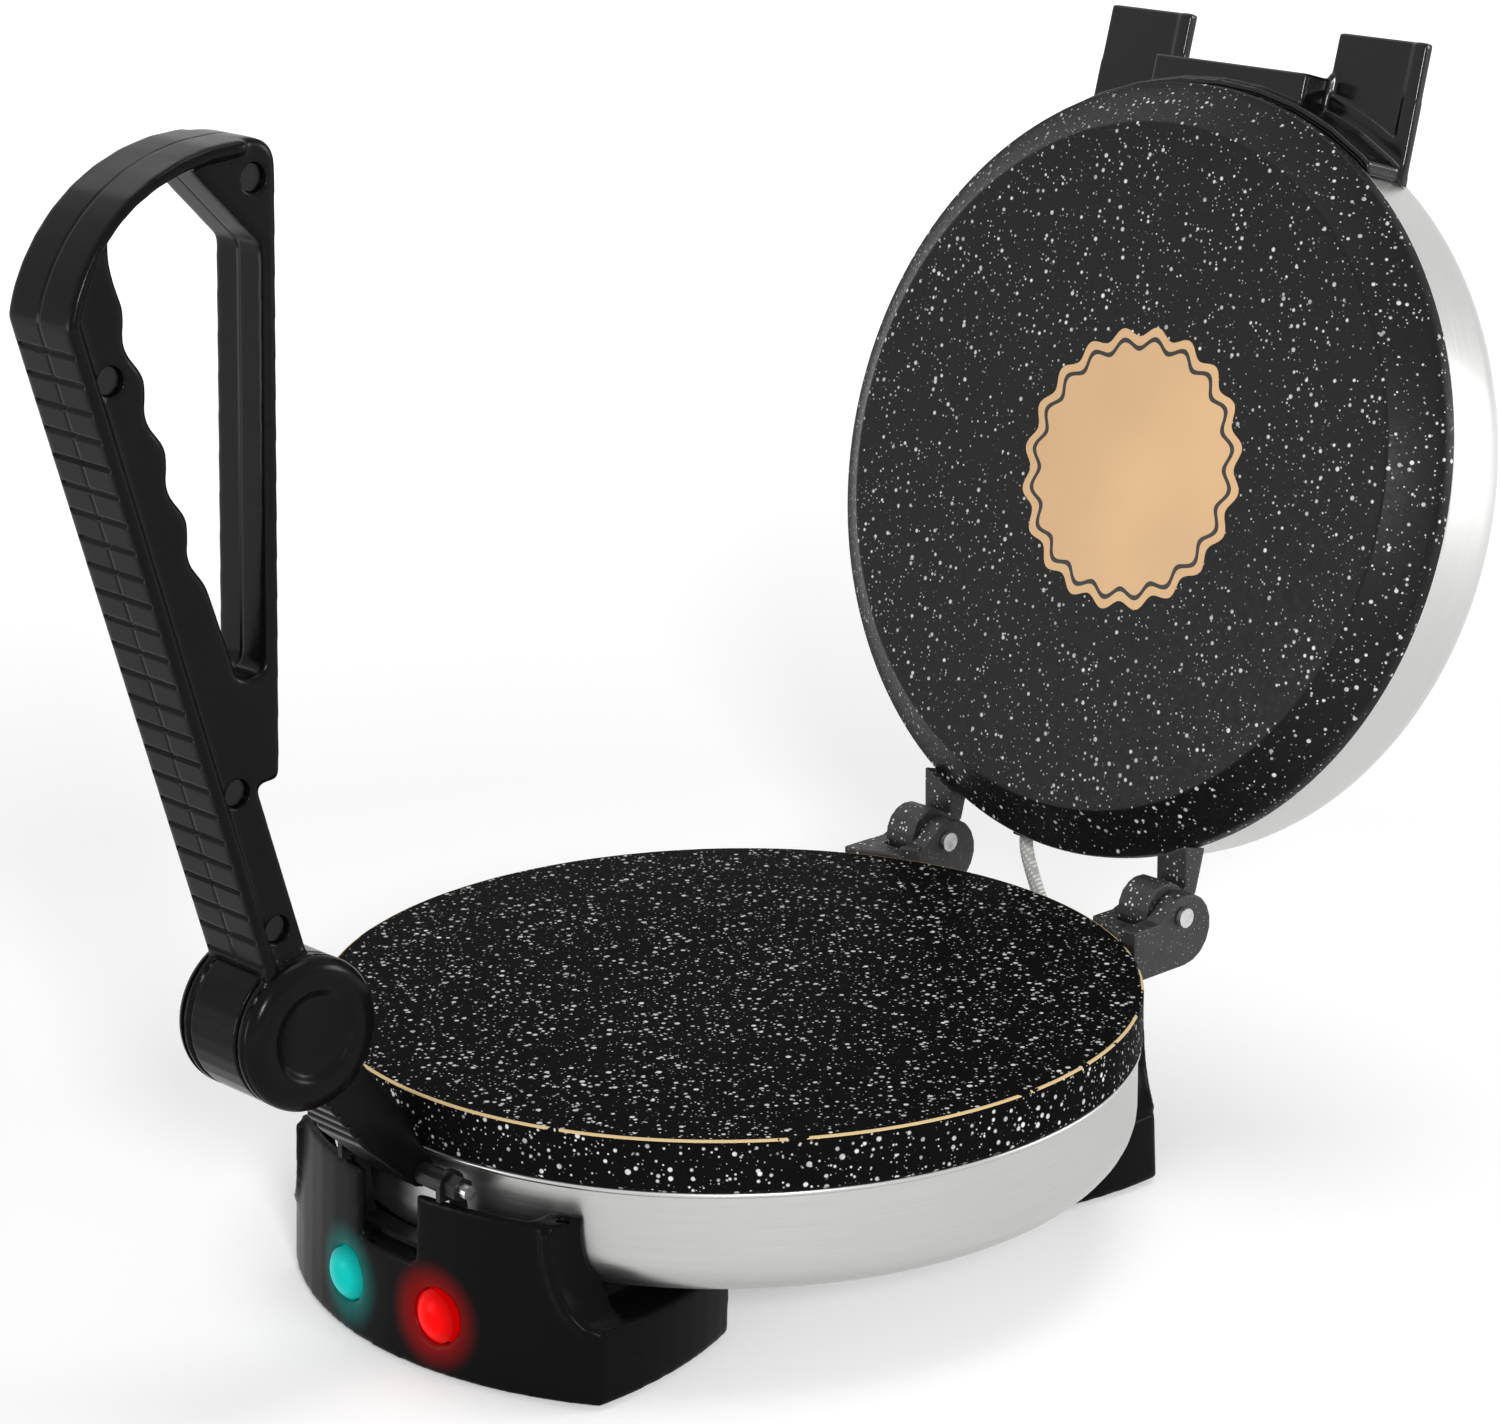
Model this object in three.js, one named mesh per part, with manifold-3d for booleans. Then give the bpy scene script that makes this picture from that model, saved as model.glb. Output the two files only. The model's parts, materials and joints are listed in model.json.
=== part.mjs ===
// Electric roti maker: two hinged heated plates on two moulded feet, and a folding press handle.
// Millimetres, +Z up, the front of the machine towards -Y. It stands open, as it is put on show.
import * as THREE from 'three';
import { mergeVertices } from 'three/addons/utils/BufferGeometryUtils.js';
import Module from 'manifold-3d';

const wasm = await Module();
wasm.setup();

// Driving dimensions
const plateRadius = 110;
const gap = 0.3;
const overrun = 6;
const sheet = 1;
const weldDistance = 0.0001;

// Angles in degrees
const lidOpenAngle = 105.9;

// Steps of round shapes
const roundSteps = 48;
const barrelSteps = 32;
const pinSteps = 12;
const curveSteps = 8;

// Lower half: pressed steel pan under the lower plate
const pan = {
  floor: 25.8,
  depth: 30.2,
  wallInset: 1.3,
  cornerRadius: 12,
  lipHeight: 1.6,
  lipInset: 0.3,
};
pan.radius = plateRadius - pan.wallInset;
pan.lipRadius = plateRadius - pan.lipInset;
pan.lip = pan.floor + pan.depth;

const plate = {
  skirtHeight: 13.8,
  skirtWidth: 5.5,
  web: 7,
  edge: 1.2,
  bossRadius: 8,
  bossHeight: 7,
  boltDepth: 4,
};
plate.bottom = pan.lip + gap;
plate.top = plate.bottom + plate.skirtHeight;
plate.underside = plate.top - plate.web;

const bolt = {
  radius: 3,
  headRadius: 6,
  headHeight: 2,
};
bolt.hole = bolt.radius + gap;

// Upper half, in the place that it has when the lid is shut
const lid = {
  height: 12.8,
  discRadius: 97.4,
  bevelReach: 10.1,
  bevelRise: 8.4,
  rimEdge: 1.2,
  web: 7.3,
  shellDepth: 30.5,
  cornerRadius: 13,
};
lid.face = plate.top + gap;
lid.rim = lid.face + lid.height;
lid.upperside = lid.face + lid.web;
lid.shellBottom = lid.rim + gap;
lid.shellTop = lid.shellBottom + lid.shellDepth;

// Heating parts in each half
const heater = {
  tubeRadius: 3.3,
  ringInset: 40,
  openShare: 0.1,
  ringSteps: 36,
  tubeSides: 6,
  pressInset: 20,
  pressThickness: 1.2,
  woolInset: 18,
  woolThickness: 6.6,
};
heater.ringRadius = plateRadius - heater.ringInset;
heater.pressRadius = plateRadius - heater.pressInset;
heater.woolRadius = plateRadius - heater.woolInset;

// Rear hinge of the lid
const hinge = {
  behindPlate: 6.4,
  abovePlate: 3.3,
  spread: 45.65,
  strapHalfWidth: 5.35,
  earWidth: 5.7,
  earRadius: 10.3,
  earLower: 4.4,
  earRearward: 1.6,
  eyeRadius: 8.2,
  pinRadius: 2,
  pinHeadRadius: 2.8,
  pinHead: 1.5,
  seatInset: 12.8,
};
hinge.y = plateRadius + hinge.behindPlate;
hinge.z = plate.top + hinge.abovePlate;

// Moulded feet, drawn as the front foot; the rear foot is the same moulding turned round
const foot = {
  bottom: 1,
  top: 47.5,
  pastPlate: 11,
  facePastPlate: 2,
  halfWidth: 62,
  endHalfWidth: 52,
  endY: 50,
  lean: 2.5,
  sideBulge: 6,
  sideMiddle: 74,
  flank: 21,
  shoulderInset: 11.5,
  shoulderTop: 46,
  wall: 2.5,
  recessFloor: 29,
  recessHalfWidth: 43,
  slotHalfWidth: 10.7,
  pocketInner: 47,
  pocketSetback: 29,
  pocketTop: 32,
  earX: 48.6,
  earSetback: 19.6,
  earHoleRadius: 1.8,
  earHoleDepth: 14,
};
foot.apex = plateRadius + foot.pastPlate;
foot.faceRadius = plateRadius + foot.facePastPlate;
foot.pocketFront = foot.apex - foot.pocketSetback;
foot.earY = foot.apex - foot.earSetback;

const cover = {
  bottom: 3.3,
  thickness: 2,
};

const pad = {
  radius: 8,
  x: 46,
  setback: 29,
};
pad.y = foot.apex - pad.setback;

const lamp = {
  x: 18,
  z: 16.6,
  radius: 7,
  wall: 1.4,
  proud: 0.4,
  domeHeight: 3,
  domeRimShare: 0.93,
  inside: 8.5,
  flangeWidth: 1.5,
  flange: 1.5,
  bulbRadius: 3,
  bulbBase: 1.8,
  bulbLength: 5.2,
};
lamp.reach = foot.apex + lamp.proud;
lamp.back = foot.apex - lamp.inside;

// Lever arm between its pin in the front foot and the barrel of the handle
const lever = {
  pivotInset: 7.4,
  pivotZ: 51.5,
  barrelForward: 35.9,
  barrelZ: 99.6,
  halfWidth: 9,
  eyeRadius: 4,
  frontDepth: 7.5,
  rearDepth: 6.5,
  taperLength: 20,
  pinRadius: 1.8,
  ribPitch: 4.5,
  ribCount: 5,
  ribDepth: 1.2,
  ribStart: 22,
};
lever.pivotY = lever.pivotInset - foot.apex;
lever.barrelY = lever.pivotY - lever.barrelForward;

const barrel = {
  radius: 19.5,
  halfLength: 15.9,
  cap: 3.2,
  capRounding: 2.6,
  capRecessRadius: 10.5,
  capRecess: 1.4,
  pinRadius: 4,
};
barrel.capFace = barrel.halfLength - barrel.cap;

const pivotBracket = {
  earInner: 19,
  sheet: 1.6,
  frontSetback: 7.6,
  rearSetback: 13.8,
  earTop: 47.9,
  nutRadius: 3.3,
  nutLength: 4,
  nutGap: 1.4,
  spacerRadius: 3,
};
pivotBracket.front = foot.apex - pivotBracket.frontSetback;
pivotBracket.rear = foot.apex - pivotBracket.rearSetback;

// Handle, drawn on its side face from the centre of the barrel
const handle = {
  bandHalfWidth: 13,
  sideHalfWidth: 9.75,
  lean: 15.5,
  startY: -10.5,
  startZ: 15.4,
  ribbedLength: 172,
  bandDepth: 3.5,
  ribFirst: 4,
  ribPitch: 7,
  ribWidth: 1.2,
  ribDepth: 0.9,
  gripDepth: 14.4,
  scallopDepth: 2.6,
  scallopPitch: 18,
  scallopLead: 74.2,
  scallopCount: 4,
  bendEndY: -15.5,
  bendRise: 35.66,
  topY: -5.4,
  topRise: 0.6,
  guardTopY: 4.2,
  guardTopDrop: 6.8,
  guardBottomY: -2.5,
  guardBottomZ: 63,
  guardThickness: 4.1,
  stemDepth: 14.3,
  chinZ: 59.8,
  chinRise: 4,
  chinFlat: 2.5,
  stemEndZ: 12.5,
  windowTopY: -20.3,
  windowTopDrop: 4.2,
  chamferDrop: 25,
  windowBottomY: -9.7,
  windowLength: 125.9,
  windowBottomRadius: 4,
  windowFootY: -14.2,
  wall: 2.7,
  hollowStart: 68,
  hollowEnd: 145,
};
handle.ribCount = Math.floor((handle.ribbedLength - handle.ribFirst) / handle.ribPitch);
handle.scallopStart = handle.ribbedLength - handle.scallopLead;
handle.ribbedRise = handle.ribbedLength * Math.cos(THREE.MathUtils.degToRad(handle.lean));
handle.bendEndZ = handle.startZ + handle.ribbedRise + handle.bendRise;
handle.topZ = handle.bendEndZ + handle.topRise;
handle.guardTopZ = handle.bendEndZ - handle.guardTopDrop;
handle.windowTopZ = handle.bendEndZ - handle.windowTopDrop;
handle.chamferZ = handle.bendEndZ - handle.chamferDrop;
handle.windowBottomZ = handle.bendEndZ - handle.windowLength;

const screw = {
  headRadius: 3.3,
  headHeight: 2.2,
  recess: 1.6,
  radius: 1.5,
  far: 6,
};

// Lid bracket with its two lifting tabs
const bracket = {
  tabInner: 27,
  tabOuter: 58.6,
  tabPastPlate: 20.9,
  tabBottom: 98.8,
  tabTop: 102.2,
  tabInside: 20,
  bridgePastPlate: 7.5,
  bridgeBottom: 88,
  bridgeTop: 99.5,
  bandThickness: 2.5,
  bandBottom: 84.4,
  bandInside: 18,
  screwX: 14,
  screwZ: 91.4,
  screwLength: 8,
};
bracket.tabReach = plateRadius + bracket.tabPastPlate;
bracket.tabRoot = plateRadius - bracket.tabInside;
bracket.bridgeReach = plateRadius + bracket.bridgePastPlate;
bracket.bandRoot = plateRadius - bracket.bandInside;

const badge = {
  x: 8.8,
  y: -0.8,
  radius: 38.6,
  scallop: 1.4,
  scallopCount: 20,
  pointsPerScallop: 6,
  thickness: 0.5,
};

const lead = {
  radius: 2,
  sides: 8,
  steps: 24,
  baseX: 7,
  baseZ: 46,
  lidX: -19,
  lidZ: 90.6,
  bushRadius: 4.4,
  bushFlange: 2.6,
  sleeve: 2.6,
  inside: 4,
  lowX: 6,
  lowPastPlate: 9,
  lowZ: 47.5,
  middleX: -3,
  middlePastPlate: 17,
  middleZ: 53.5,
  highX: -13,
  highPastPlate: 22,
  highZ: 61,
};
lead.lowY = plateRadius + lead.lowPastPlate;
lead.middleY = plateRadius + lead.middlePastPlate;
lead.highY = plateRadius + lead.highPastPlate;

// Materials, as the photograph shows them
function finish(color, roughness, metalness) {
  return new THREE.MeshStandardMaterial({ color, roughness, metalness });
}
const materials = {
  plastic: finish(0x141414, 0.35, 0),
  coating: finish(0x1c1c1e, 0.55, 0.1),
  steel: finish(0xc8c9c8, 0.32, 1),
  casting: finish(0x2a2a2b, 0.6, 0.3),
  rubber: finish(0x101010, 0.9, 0),
  zinc: finish(0xd0d0cc, 0.35, 1),
  blackSteel: finish(0x1a1a1a, 0.45, 0.6),
  wool: finish(0xd9d4c6, 0.95, 0),
  ceramic: finish(0xeae6da, 0.5, 0),
  gold: finish(0xd9b27c, 0.4, 0.5),
  sleeving: finish(0xb9b9b4, 0.8, 0),
  greenLens: finish(0x14c8c0, 0.15, 0),
  redLens: finish(0xe6140f, 0.15, 0),
  bulb: finish(0xf2c9a0, 0.2, 0),
};

// A closed mesh as a solid, with its faces turned outwards
function solid(geometry) {
  const bare = geometry.clone();
  bare.deleteAttribute('normal');
  bare.deleteAttribute('uv');
  const merged = mergeVertices(bare, weldDistance);
  const points = merged.attributes.position;
  const faces = [];
  const a = new THREE.Vector3();
  const b = new THREE.Vector3();
  const c = new THREE.Vector3();
  let volume = 0;
  for (let i = 0; i < merged.index.count; i += 3) {
    const corners = [0, 1, 2].map((step) => merged.index.getX(i + step));
    if (new Set(corners).size < corners.length) continue;
    faces.push(corners);
    a.fromBufferAttribute(points, corners[0]);
    b.fromBufferAttribute(points, corners[1]);
    c.fromBufferAttribute(points, corners[2]);
    volume += a.dot(b.cross(c));
  }
  if (volume < 0) faces.forEach((face) => face.reverse());
  return new wasm.Manifold(new wasm.Mesh({
    numProp: 3,
    vertProperties: new Float32Array(points.array),
    triVerts: new Uint32Array(faces.flat()),
  }));
}

function geometryOf(body) {
  const mesh = body.getMesh();
  const geometry = new THREE.BufferGeometry();
  geometry.setAttribute('position', new THREE.BufferAttribute(new Float32Array(mesh.vertProperties), 3));
  geometry.setIndex(new THREE.BufferAttribute(new Uint32Array(mesh.triVerts), 1));
  geometry.computeVertexNormals();
  return geometry;
}

function mirrored(body) {
  return solid(geometryOf(body).scale(-1, 1, 1));
}

function cut(body, ...tools) {
  return tools.reduce((rest, tool) => rest.subtract(tool), body);
}

function join(body, ...more) {
  return more.reduce((whole, piece) => whole.add(piece), body);
}

// Shapes turned about the Z axis or the X axis from points of radius and place along the axis
function turned(profile, steps = roundSteps) {
  const points = profile.map(([radius, along]) => new THREE.Vector2(radius, along));
  const last = points[points.length - 1];
  if (points[0].x > 0 || last.x > 0) points.push(points[0].clone());
  return solid(new THREE.LatheGeometry(points, steps).rotateX(Math.PI / 2));
}

function turnedAlong(direction, origin, profile, steps = pinSteps) {
  const points = profile.map(([radius, along]) => new THREE.Vector2(radius, along));
  if (points[0].x > 0) points.push(points[0].clone());
  const up = new THREE.Vector3(0, 1, 0);
  const turn = new THREE.Quaternion().setFromUnitVectors(up, direction.clone().normalize());
  const geometry = new THREE.LatheGeometry(points, steps);
  geometry.applyQuaternion(turn);
  return solid(geometry.translate(origin.x, origin.y, origin.z));
}

function rod(from, to, radius, steps = pinSteps) {
  const way = new THREE.Vector3().subVectors(to, from);
  return turnedAlong(way, from, [[0, 0], [radius, 0], [radius, way.length()], [0, way.length()]], steps);
}

function block(xLow, xHigh, yLow, yHigh, zLow, zHigh) {
  const geometry = new THREE.BoxGeometry(xHigh - xLow, yHigh - yLow, zHigh - zLow);
  const centre = [(xLow + xHigh) / 2, (yLow + yHigh) / 2, (zLow + zHigh) / 2];
  return solid(geometry.translate(...centre));
}

function prism(shape, low, high) {
  const settings = { depth: high - low, bevelEnabled: false, curveSegments: curveSteps };
  return new THREE.ExtrudeGeometry(shape, settings).translate(0, 0, low);
}

// A shape drawn in Y and Z, drawn out along X
function prismAlongX(shape, low, high) {
  const geometry = prism(shape, low, high);
  const turn = new THREE.Matrix4().makeBasis(
    new THREE.Vector3(0, 1, 0),
    new THREE.Vector3(0, 0, 1),
    new THREE.Vector3(1, 0, 0),
  );
  return solid(geometry.applyMatrix4(turn));
}

// A shape drawn in X and Z, drawn out along Y
function prismAlongY(shape, low, high) {
  return solid(prism(shape, -high, -low).rotateX(Math.PI / 2));
}

function polygon(points) {
  return new THREE.Shape(points.map(([across, up]) => new THREE.Vector2(across, up)));
}

// Points of an arc from one angle to another, in degrees, each as how far across and how far up
function arc(centreAcross, centreUp, radius, from, to, steps) {
  return Array.from({ length: steps + 1 }, (_, i) => {
    const angle = THREE.MathUtils.degToRad(from + ((to - from) * i) / steps);
    return [centreAcross + radius * Math.cos(angle), centreUp + radius * Math.sin(angle)];
  });
}

function at(x, y, z) {
  return new THREE.Vector3(x, y, z);
}

const machine = new THREE.Group();
const base = new THREE.Group();
const lidGroup = new THREE.Group();
const armGroup = new THREE.Group();
const handleGroup = new THREE.Group();
lidGroup.name = 'lid';
armGroup.name = 'lever';
handleGroup.name = 'handle';
machine.add(base, lidGroup, armGroup, handleGroup);

function addPiece(group, name, material, body) {
  const mesh = new THREE.Mesh(geometryOf(body), materials[material]);
  mesh.name = name;
  group.add(mesh);
  return mesh;
}

// Space that the lower half takes up, with a clearance round it, for cutting its neighbours
const clearTop = lid.shellTop + overrun;
function lowerHalfEnvelope(clearance) {
  const radius = pan.radius + clearance;
  return turned([
    [0, pan.floor - clearance],
    ...arc(
      pan.radius - pan.cornerRadius,
      pan.floor + pan.cornerRadius,
      pan.cornerRadius + clearance,
      -90,
      0,
      6,
    ),
    [radius, pan.lip - pan.lipHeight - clearance],
    [plateRadius + clearance, pan.lip - pan.lipHeight - clearance],
    [plateRadius + clearance, clearTop],
    [0, clearTop],
  ]);
}

function lidEnvelope(clearance) {
  const radius = pan.radius + clearance;
  const cornerZ = lid.shellTop - lid.cornerRadius;
  return turned([
    [0, lid.face - clearance],
    [plateRadius + clearance, lid.face - clearance],
    [plateRadius + clearance, lid.shellBottom + pan.lipHeight + clearance],
    [radius, lid.shellBottom + pan.lipHeight + clearance],
    ...arc(pan.radius - lid.cornerRadius, cornerZ, lid.cornerRadius + clearance, 0, 90, 8),
    [0, lid.shellTop + clearance],
  ]);
}

// Pressed steel bowl with a rolled lip, standing on its floor
function steelBowl(floor, lip, cornerRadius, cornerSteps) {
  const inner = pan.radius - sheet;
  return [
    [bolt.hole, floor],
    ...arc(pan.radius - cornerRadius, floor + cornerRadius, cornerRadius, -90, 0, cornerSteps),
    [pan.radius, lip - pan.lipHeight],
    [pan.lipRadius, lip - pan.lipHeight],
    [pan.lipRadius, lip],
    [inner, lip],
    ...arc(pan.radius - cornerRadius, floor + cornerRadius, cornerRadius - sheet, 0, -90, cornerSteps - 1),
    [bolt.hole, floor + sheet],
  ];
}

// Tail of a hinge lug on the pan's wall, and its rivet, set square to that wall
const tail = {
  x: 36.6,
  halfWidth: 5.5,
  thickness: 3.4,
  bottom: 38,
};
const rivet = {
  turn: Math.asin(tail.x / pan.radius),
  z: 45,
  radius: 1.9,
  headRadius: 3,
  head: 1.6,
};
const rivetHole = rivet.radius + gap;
const rivetWay = at(Math.sin(rivet.turn), Math.cos(rivet.turn), 0);

function alongRivet(distance) {
  return rivetWay.clone().multiplyScalar(distance).setZ(rivet.z);
}

const rivetPassage = rod(
  alongRivet(pan.radius - overrun),
  alongRivet(pan.radius + overrun),
  rivetHole,
);

// Lower pan
const bushHole = lead.sleeve + gap + gap;
const panBody = cut(
  turned(steelBowl(pan.floor, pan.lip, pan.cornerRadius, 4)),
  rivetPassage,
  mirrored(rivetPassage),
  rod(
    at(lead.baseX, pan.radius - overrun, lead.baseZ),
    at(lead.baseX, plateRadius + overrun, lead.baseZ),
    bushHole,
  ),
);
addPiece(base, 'lower_pan', 'steel', panBody);

// Lower plate: a casting with a skirt and a threaded boss under its centre
addPiece(base, 'lower_plate', 'coating', turned([
  [0, plate.top],
  [plateRadius - plate.edge, plate.top],
  [plateRadius, plate.top - plate.edge],
  [plateRadius, plate.bottom],
  [plateRadius - plate.skirtWidth, plate.bottom],
  [plateRadius - plate.skirtWidth, plate.underside],
  [plate.bossRadius, plate.underside],
  [plate.bossRadius, plate.underside - plate.bossHeight],
  [bolt.hole, plate.underside - plate.bossHeight],
  [bolt.hole, plate.top - plate.boltDepth],
  [0, plate.top - plate.boltDepth],
]));

// Tubular heating element: an open ring with its two ends side by side
function heatingElement(height) {
  const opening = Math.PI * heater.openShare;
  const points = Array.from({ length: heater.ringSteps + 1 }, (_, i) => {
    const angle = opening + ((2 * Math.PI - 2 * opening) * i) / heater.ringSteps;
    return at(heater.ringRadius * Math.sin(angle), heater.ringRadius * Math.cos(angle), height);
  });
  const section = new THREE.Shape();
  section.absarc(0, 0, heater.tubeRadius, 0, 2 * Math.PI);
  const geometry = new THREE.ExtrudeGeometry(section, {
    steps: heater.ringSteps,
    curveSegments: heater.tubeSides / 2,
    extrudePath: new THREE.CatmullRomCurve3(points),
  });
  return solid(geometry);
}

function ring(inner, outer, low, high) {
  return turned([[inner, low], [outer, low], [outer, high], [inner, high]]);
}

const lowerTubeZ = plate.underside - gap - heater.tubeRadius;
addPiece(base, 'lower_heating_element', 'blackSteel', heatingElement(lowerTubeZ));

const lowerPressTop = lowerTubeZ - heater.tubeRadius - gap;
const lowerPressBottom = lowerPressTop - heater.pressThickness;
const bossClearance = plate.bossRadius + gap;
addPiece(base, 'lower_press_plate', 'zinc', ring(
  bossClearance,
  heater.pressRadius,
  lowerPressBottom,
  lowerPressTop,
));

// Thermostat on the press plate, in a hole of the insulation
const thermostat = {
  x: 30,
  radius: 8,
  height: 8,
};
const woolTop = lowerPressBottom - gap;
const woolBottom = woolTop - heater.woolThickness;
const thermostatHole = thermostat.radius + gap;
addPiece(base, 'lower_insulation', 'wool', cut(
  ring(bossClearance, heater.woolRadius, woolBottom, woolTop),
  rod(at(thermostat.x, 0, woolBottom - overrun), at(thermostat.x, 0, woolTop + overrun), thermostatHole),
));
addPiece(base, 'thermostat', 'ceramic', rod(
  at(thermostat.x, 0, woolTop - thermostat.height),
  at(thermostat.x, 0, woolTop),
  thermostat.radius,
));

// Steel channel under the pan, between the feet, over the wires
const channel = {
  halfWidth: 25,
  height: 14,
  sheet: 1.5,
};
const channelTop = pan.floor - gap;
const channelEnd = foot.endY - gap - foot.lean;
const channelInside = channel.halfWidth - channel.sheet;
const channelBottom = channelTop - channel.height;
const channelShape = polygon([
  [-channel.halfWidth, channelBottom],
  [-channelInside, channelBottom],
  [-channelInside, channelTop - channel.sheet],
  [channelInside, channelTop - channel.sheet],
  [channelInside, channelBottom],
  [channel.halfWidth, channelBottom],
  [channel.halfWidth, channelTop],
  [-channel.halfWidth, channelTop],
]);
const boltHeadTop = channelTop - channel.sheet - gap;
addPiece(base, 'base_bridge', 'blackSteel', cut(
  prismAlongY(channelShape, -channelEnd, channelEnd),
  rod(at(0, 0, channelBottom), at(0, 0, pan.floor + overrun), bolt.hole),
));

addPiece(base, 'plate_centre_bolt', 'zinc', turned([
  [0, boltHeadTop - bolt.headHeight],
  [bolt.headRadius, boltHeadTop - bolt.headHeight],
  [bolt.headRadius, boltHeadTop],
  [bolt.radius, boltHeadTop],
  [bolt.radius, plate.top - plate.boltDepth - gap],
  [0, plate.top - plate.boltDepth - gap],
], pinSteps));

// Plan of a foot: a bowed face, sides that draw in to the rear, a straight end under the pan
function footPlan(inset) {
  const shape = new THREE.Shape();
  const radius = foot.faceRadius - inset;
  const corner = Math.asin((foot.halfWidth - inset) / radius);
  shape.absarc(0, foot.faceRadius - foot.apex, radius, -Math.PI / 2 - corner, -Math.PI / 2 + corner);
  const end = foot.endHalfWidth - inset;
  const bulge = (foot.halfWidth + foot.endHalfWidth) / 2 + foot.sideBulge - inset;
  shape.quadraticCurveTo(bulge, -foot.sideMiddle, end, -foot.endY - inset);
  shape.lineTo(-end, -foot.endY - inset);
  const first = shape.getPoint(0);
  shape.quadraticCurveTo(-bulge, -foot.sideMiddle, first.x, first.y);
  return shape;
}

function leanBack(geometry) {
  const points = geometry.attributes.position;
  const rise = foot.top - foot.bottom;
  for (let i = 0; i < points.count; i += 1) {
    const shift = (foot.lean * (points.getZ(i) - foot.bottom)) / rise;
    points.setY(i, points.getY(i) + shift);
  }
  return geometry;
}

// Front view of a foot: upright flanks, then hollow shoulders up to a narrower top
function footFront(inset, low, high) {
  const half = foot.halfWidth - inset;
  const narrow = half - foot.shoulderInset;
  const flank = foot.flank - inset;
  const rise = foot.shoulderTop - flank;
  const shape = new THREE.Shape();
  shape.moveTo(-half, low);
  shape.lineTo(half, low);
  shape.absellipse(half, foot.shoulderTop, foot.shoulderInset, rise, 1.5 * Math.PI, Math.PI, true);
  shape.lineTo(narrow, high);
  shape.lineTo(-narrow, high);
  shape.absellipse(-half, foot.shoulderTop, foot.shoulderInset, rise, 0, -Math.PI / 2, true);
  return shape;
}

function footBlock(inset, low, high) {
  const plan = solid(leanBack(prism(footPlan(inset), low, high)));
  const reach = foot.apex + overrun;
  const tall = Math.max(high, foot.shoulderTop + overrun);
  const front = prismAlongY(footFront(inset, low - overrun, tall), -reach, 0);
  return plan.intersect(front);
}

const pocketX = foot.halfWidth + overrun;
function sidePocket(side) {
  const low = Math.min(side * foot.pocketInner, side * pocketX);
  const high = Math.max(side * foot.pocketInner, side * pocketX);
  return block(low, high, -foot.pocketFront, 0, foot.flank, foot.pocketTop);
}

function earHole(side) {
  const place = at(side * foot.earX, -foot.earY, foot.top + overrun);
  return rod(place, at(place.x, place.y, foot.top - foot.earHoleDepth), foot.earHoleRadius);
}

// Foot housing: open below, with an open recess behind its bowed face and a slot through the face
function footHousing() {
  const flankCeiling = foot.flank - foot.wall;
  const mainCavity = footBlock(foot.wall, foot.bottom - overrun, foot.recessFloor - foot.wall)
    .subtract(lowerHalfEnvelope(gap + foot.wall))
    .intersect(block(-foot.recessHalfWidth, foot.recessHalfWidth, -foot.apex, 0, -overrun, foot.top));
  const flankCavity = footBlock(foot.wall, foot.bottom - overrun, flankCeiling);
  const recess = solid(leanBack(prism(footPlan(foot.wall), foot.recessFloor, foot.top + overrun)));
  const recessLimits = block(-foot.recessHalfWidth, foot.recessHalfWidth, -foot.apex, 0, 0, clearTop);
  const slotReach = foot.apex + overrun;
  return cut(
    footBlock(0, foot.bottom, foot.top),
    lowerHalfEnvelope(gap),
    mainCavity,
    flankCavity,
    recess.intersect(recessLimits),
    block(-foot.slotHalfWidth, foot.slotHalfWidth, -slotReach, -pan.radius, foot.recessFloor, clearTop),
    sidePocket(1),
    sidePocket(-1),
    earHole(1),
    earHole(-1),
  );
}

const coverTop = cover.bottom + cover.thickness;
const footCover = footBlock(foot.wall + gap, cover.bottom, coverTop);
const rubberPad = turned([
  [0, 0],
  [pad.radius, 0],
  [pad.radius, cover.bottom - gap],
  [0, cover.bottom - gap],
], barrelSteps / 2);

// Lamps in the face of the front foot, each a domed lens over a neon lamp
const lampHole = lamp.radius + gap;
const outwards = at(0, -1, 0);
const lensLength = lamp.reach - lamp.back;
const lensHollow = lamp.radius - lamp.wall;
const lensProfile = [
  [0, lensLength],
  [lamp.radius / 2, lensLength - lamp.domeHeight / 6],
  [lamp.radius * lamp.domeRimShare, lensLength - lamp.domeHeight + lamp.domeHeight / 4],
  [lamp.radius, lensLength - lamp.domeHeight],
  [lamp.radius, lamp.flange],
  [lamp.radius + lamp.flangeWidth, lamp.flange],
  [lamp.radius + lamp.flangeWidth, 0],
  [lensHollow, 0],
  [lensHollow, lensLength - lamp.domeHeight],
  [0, lensLength - lamp.domeHeight + lamp.wall / 2],
];
const bulbProfile = [
  [0, gap],
  [lensHollow - gap, gap],
  [lensHollow - gap, gap + lamp.bulbBase],
  [lamp.bulbRadius, gap + lamp.bulbBase],
  [lamp.bulbRadius, lamp.bulbLength - lamp.bulbRadius / 2],
  [lamp.bulbRadius / 2, lamp.bulbLength],
  [0, lamp.bulbLength],
];
const lampSides = [[-1, 'green'], [1, 'red']];

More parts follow.
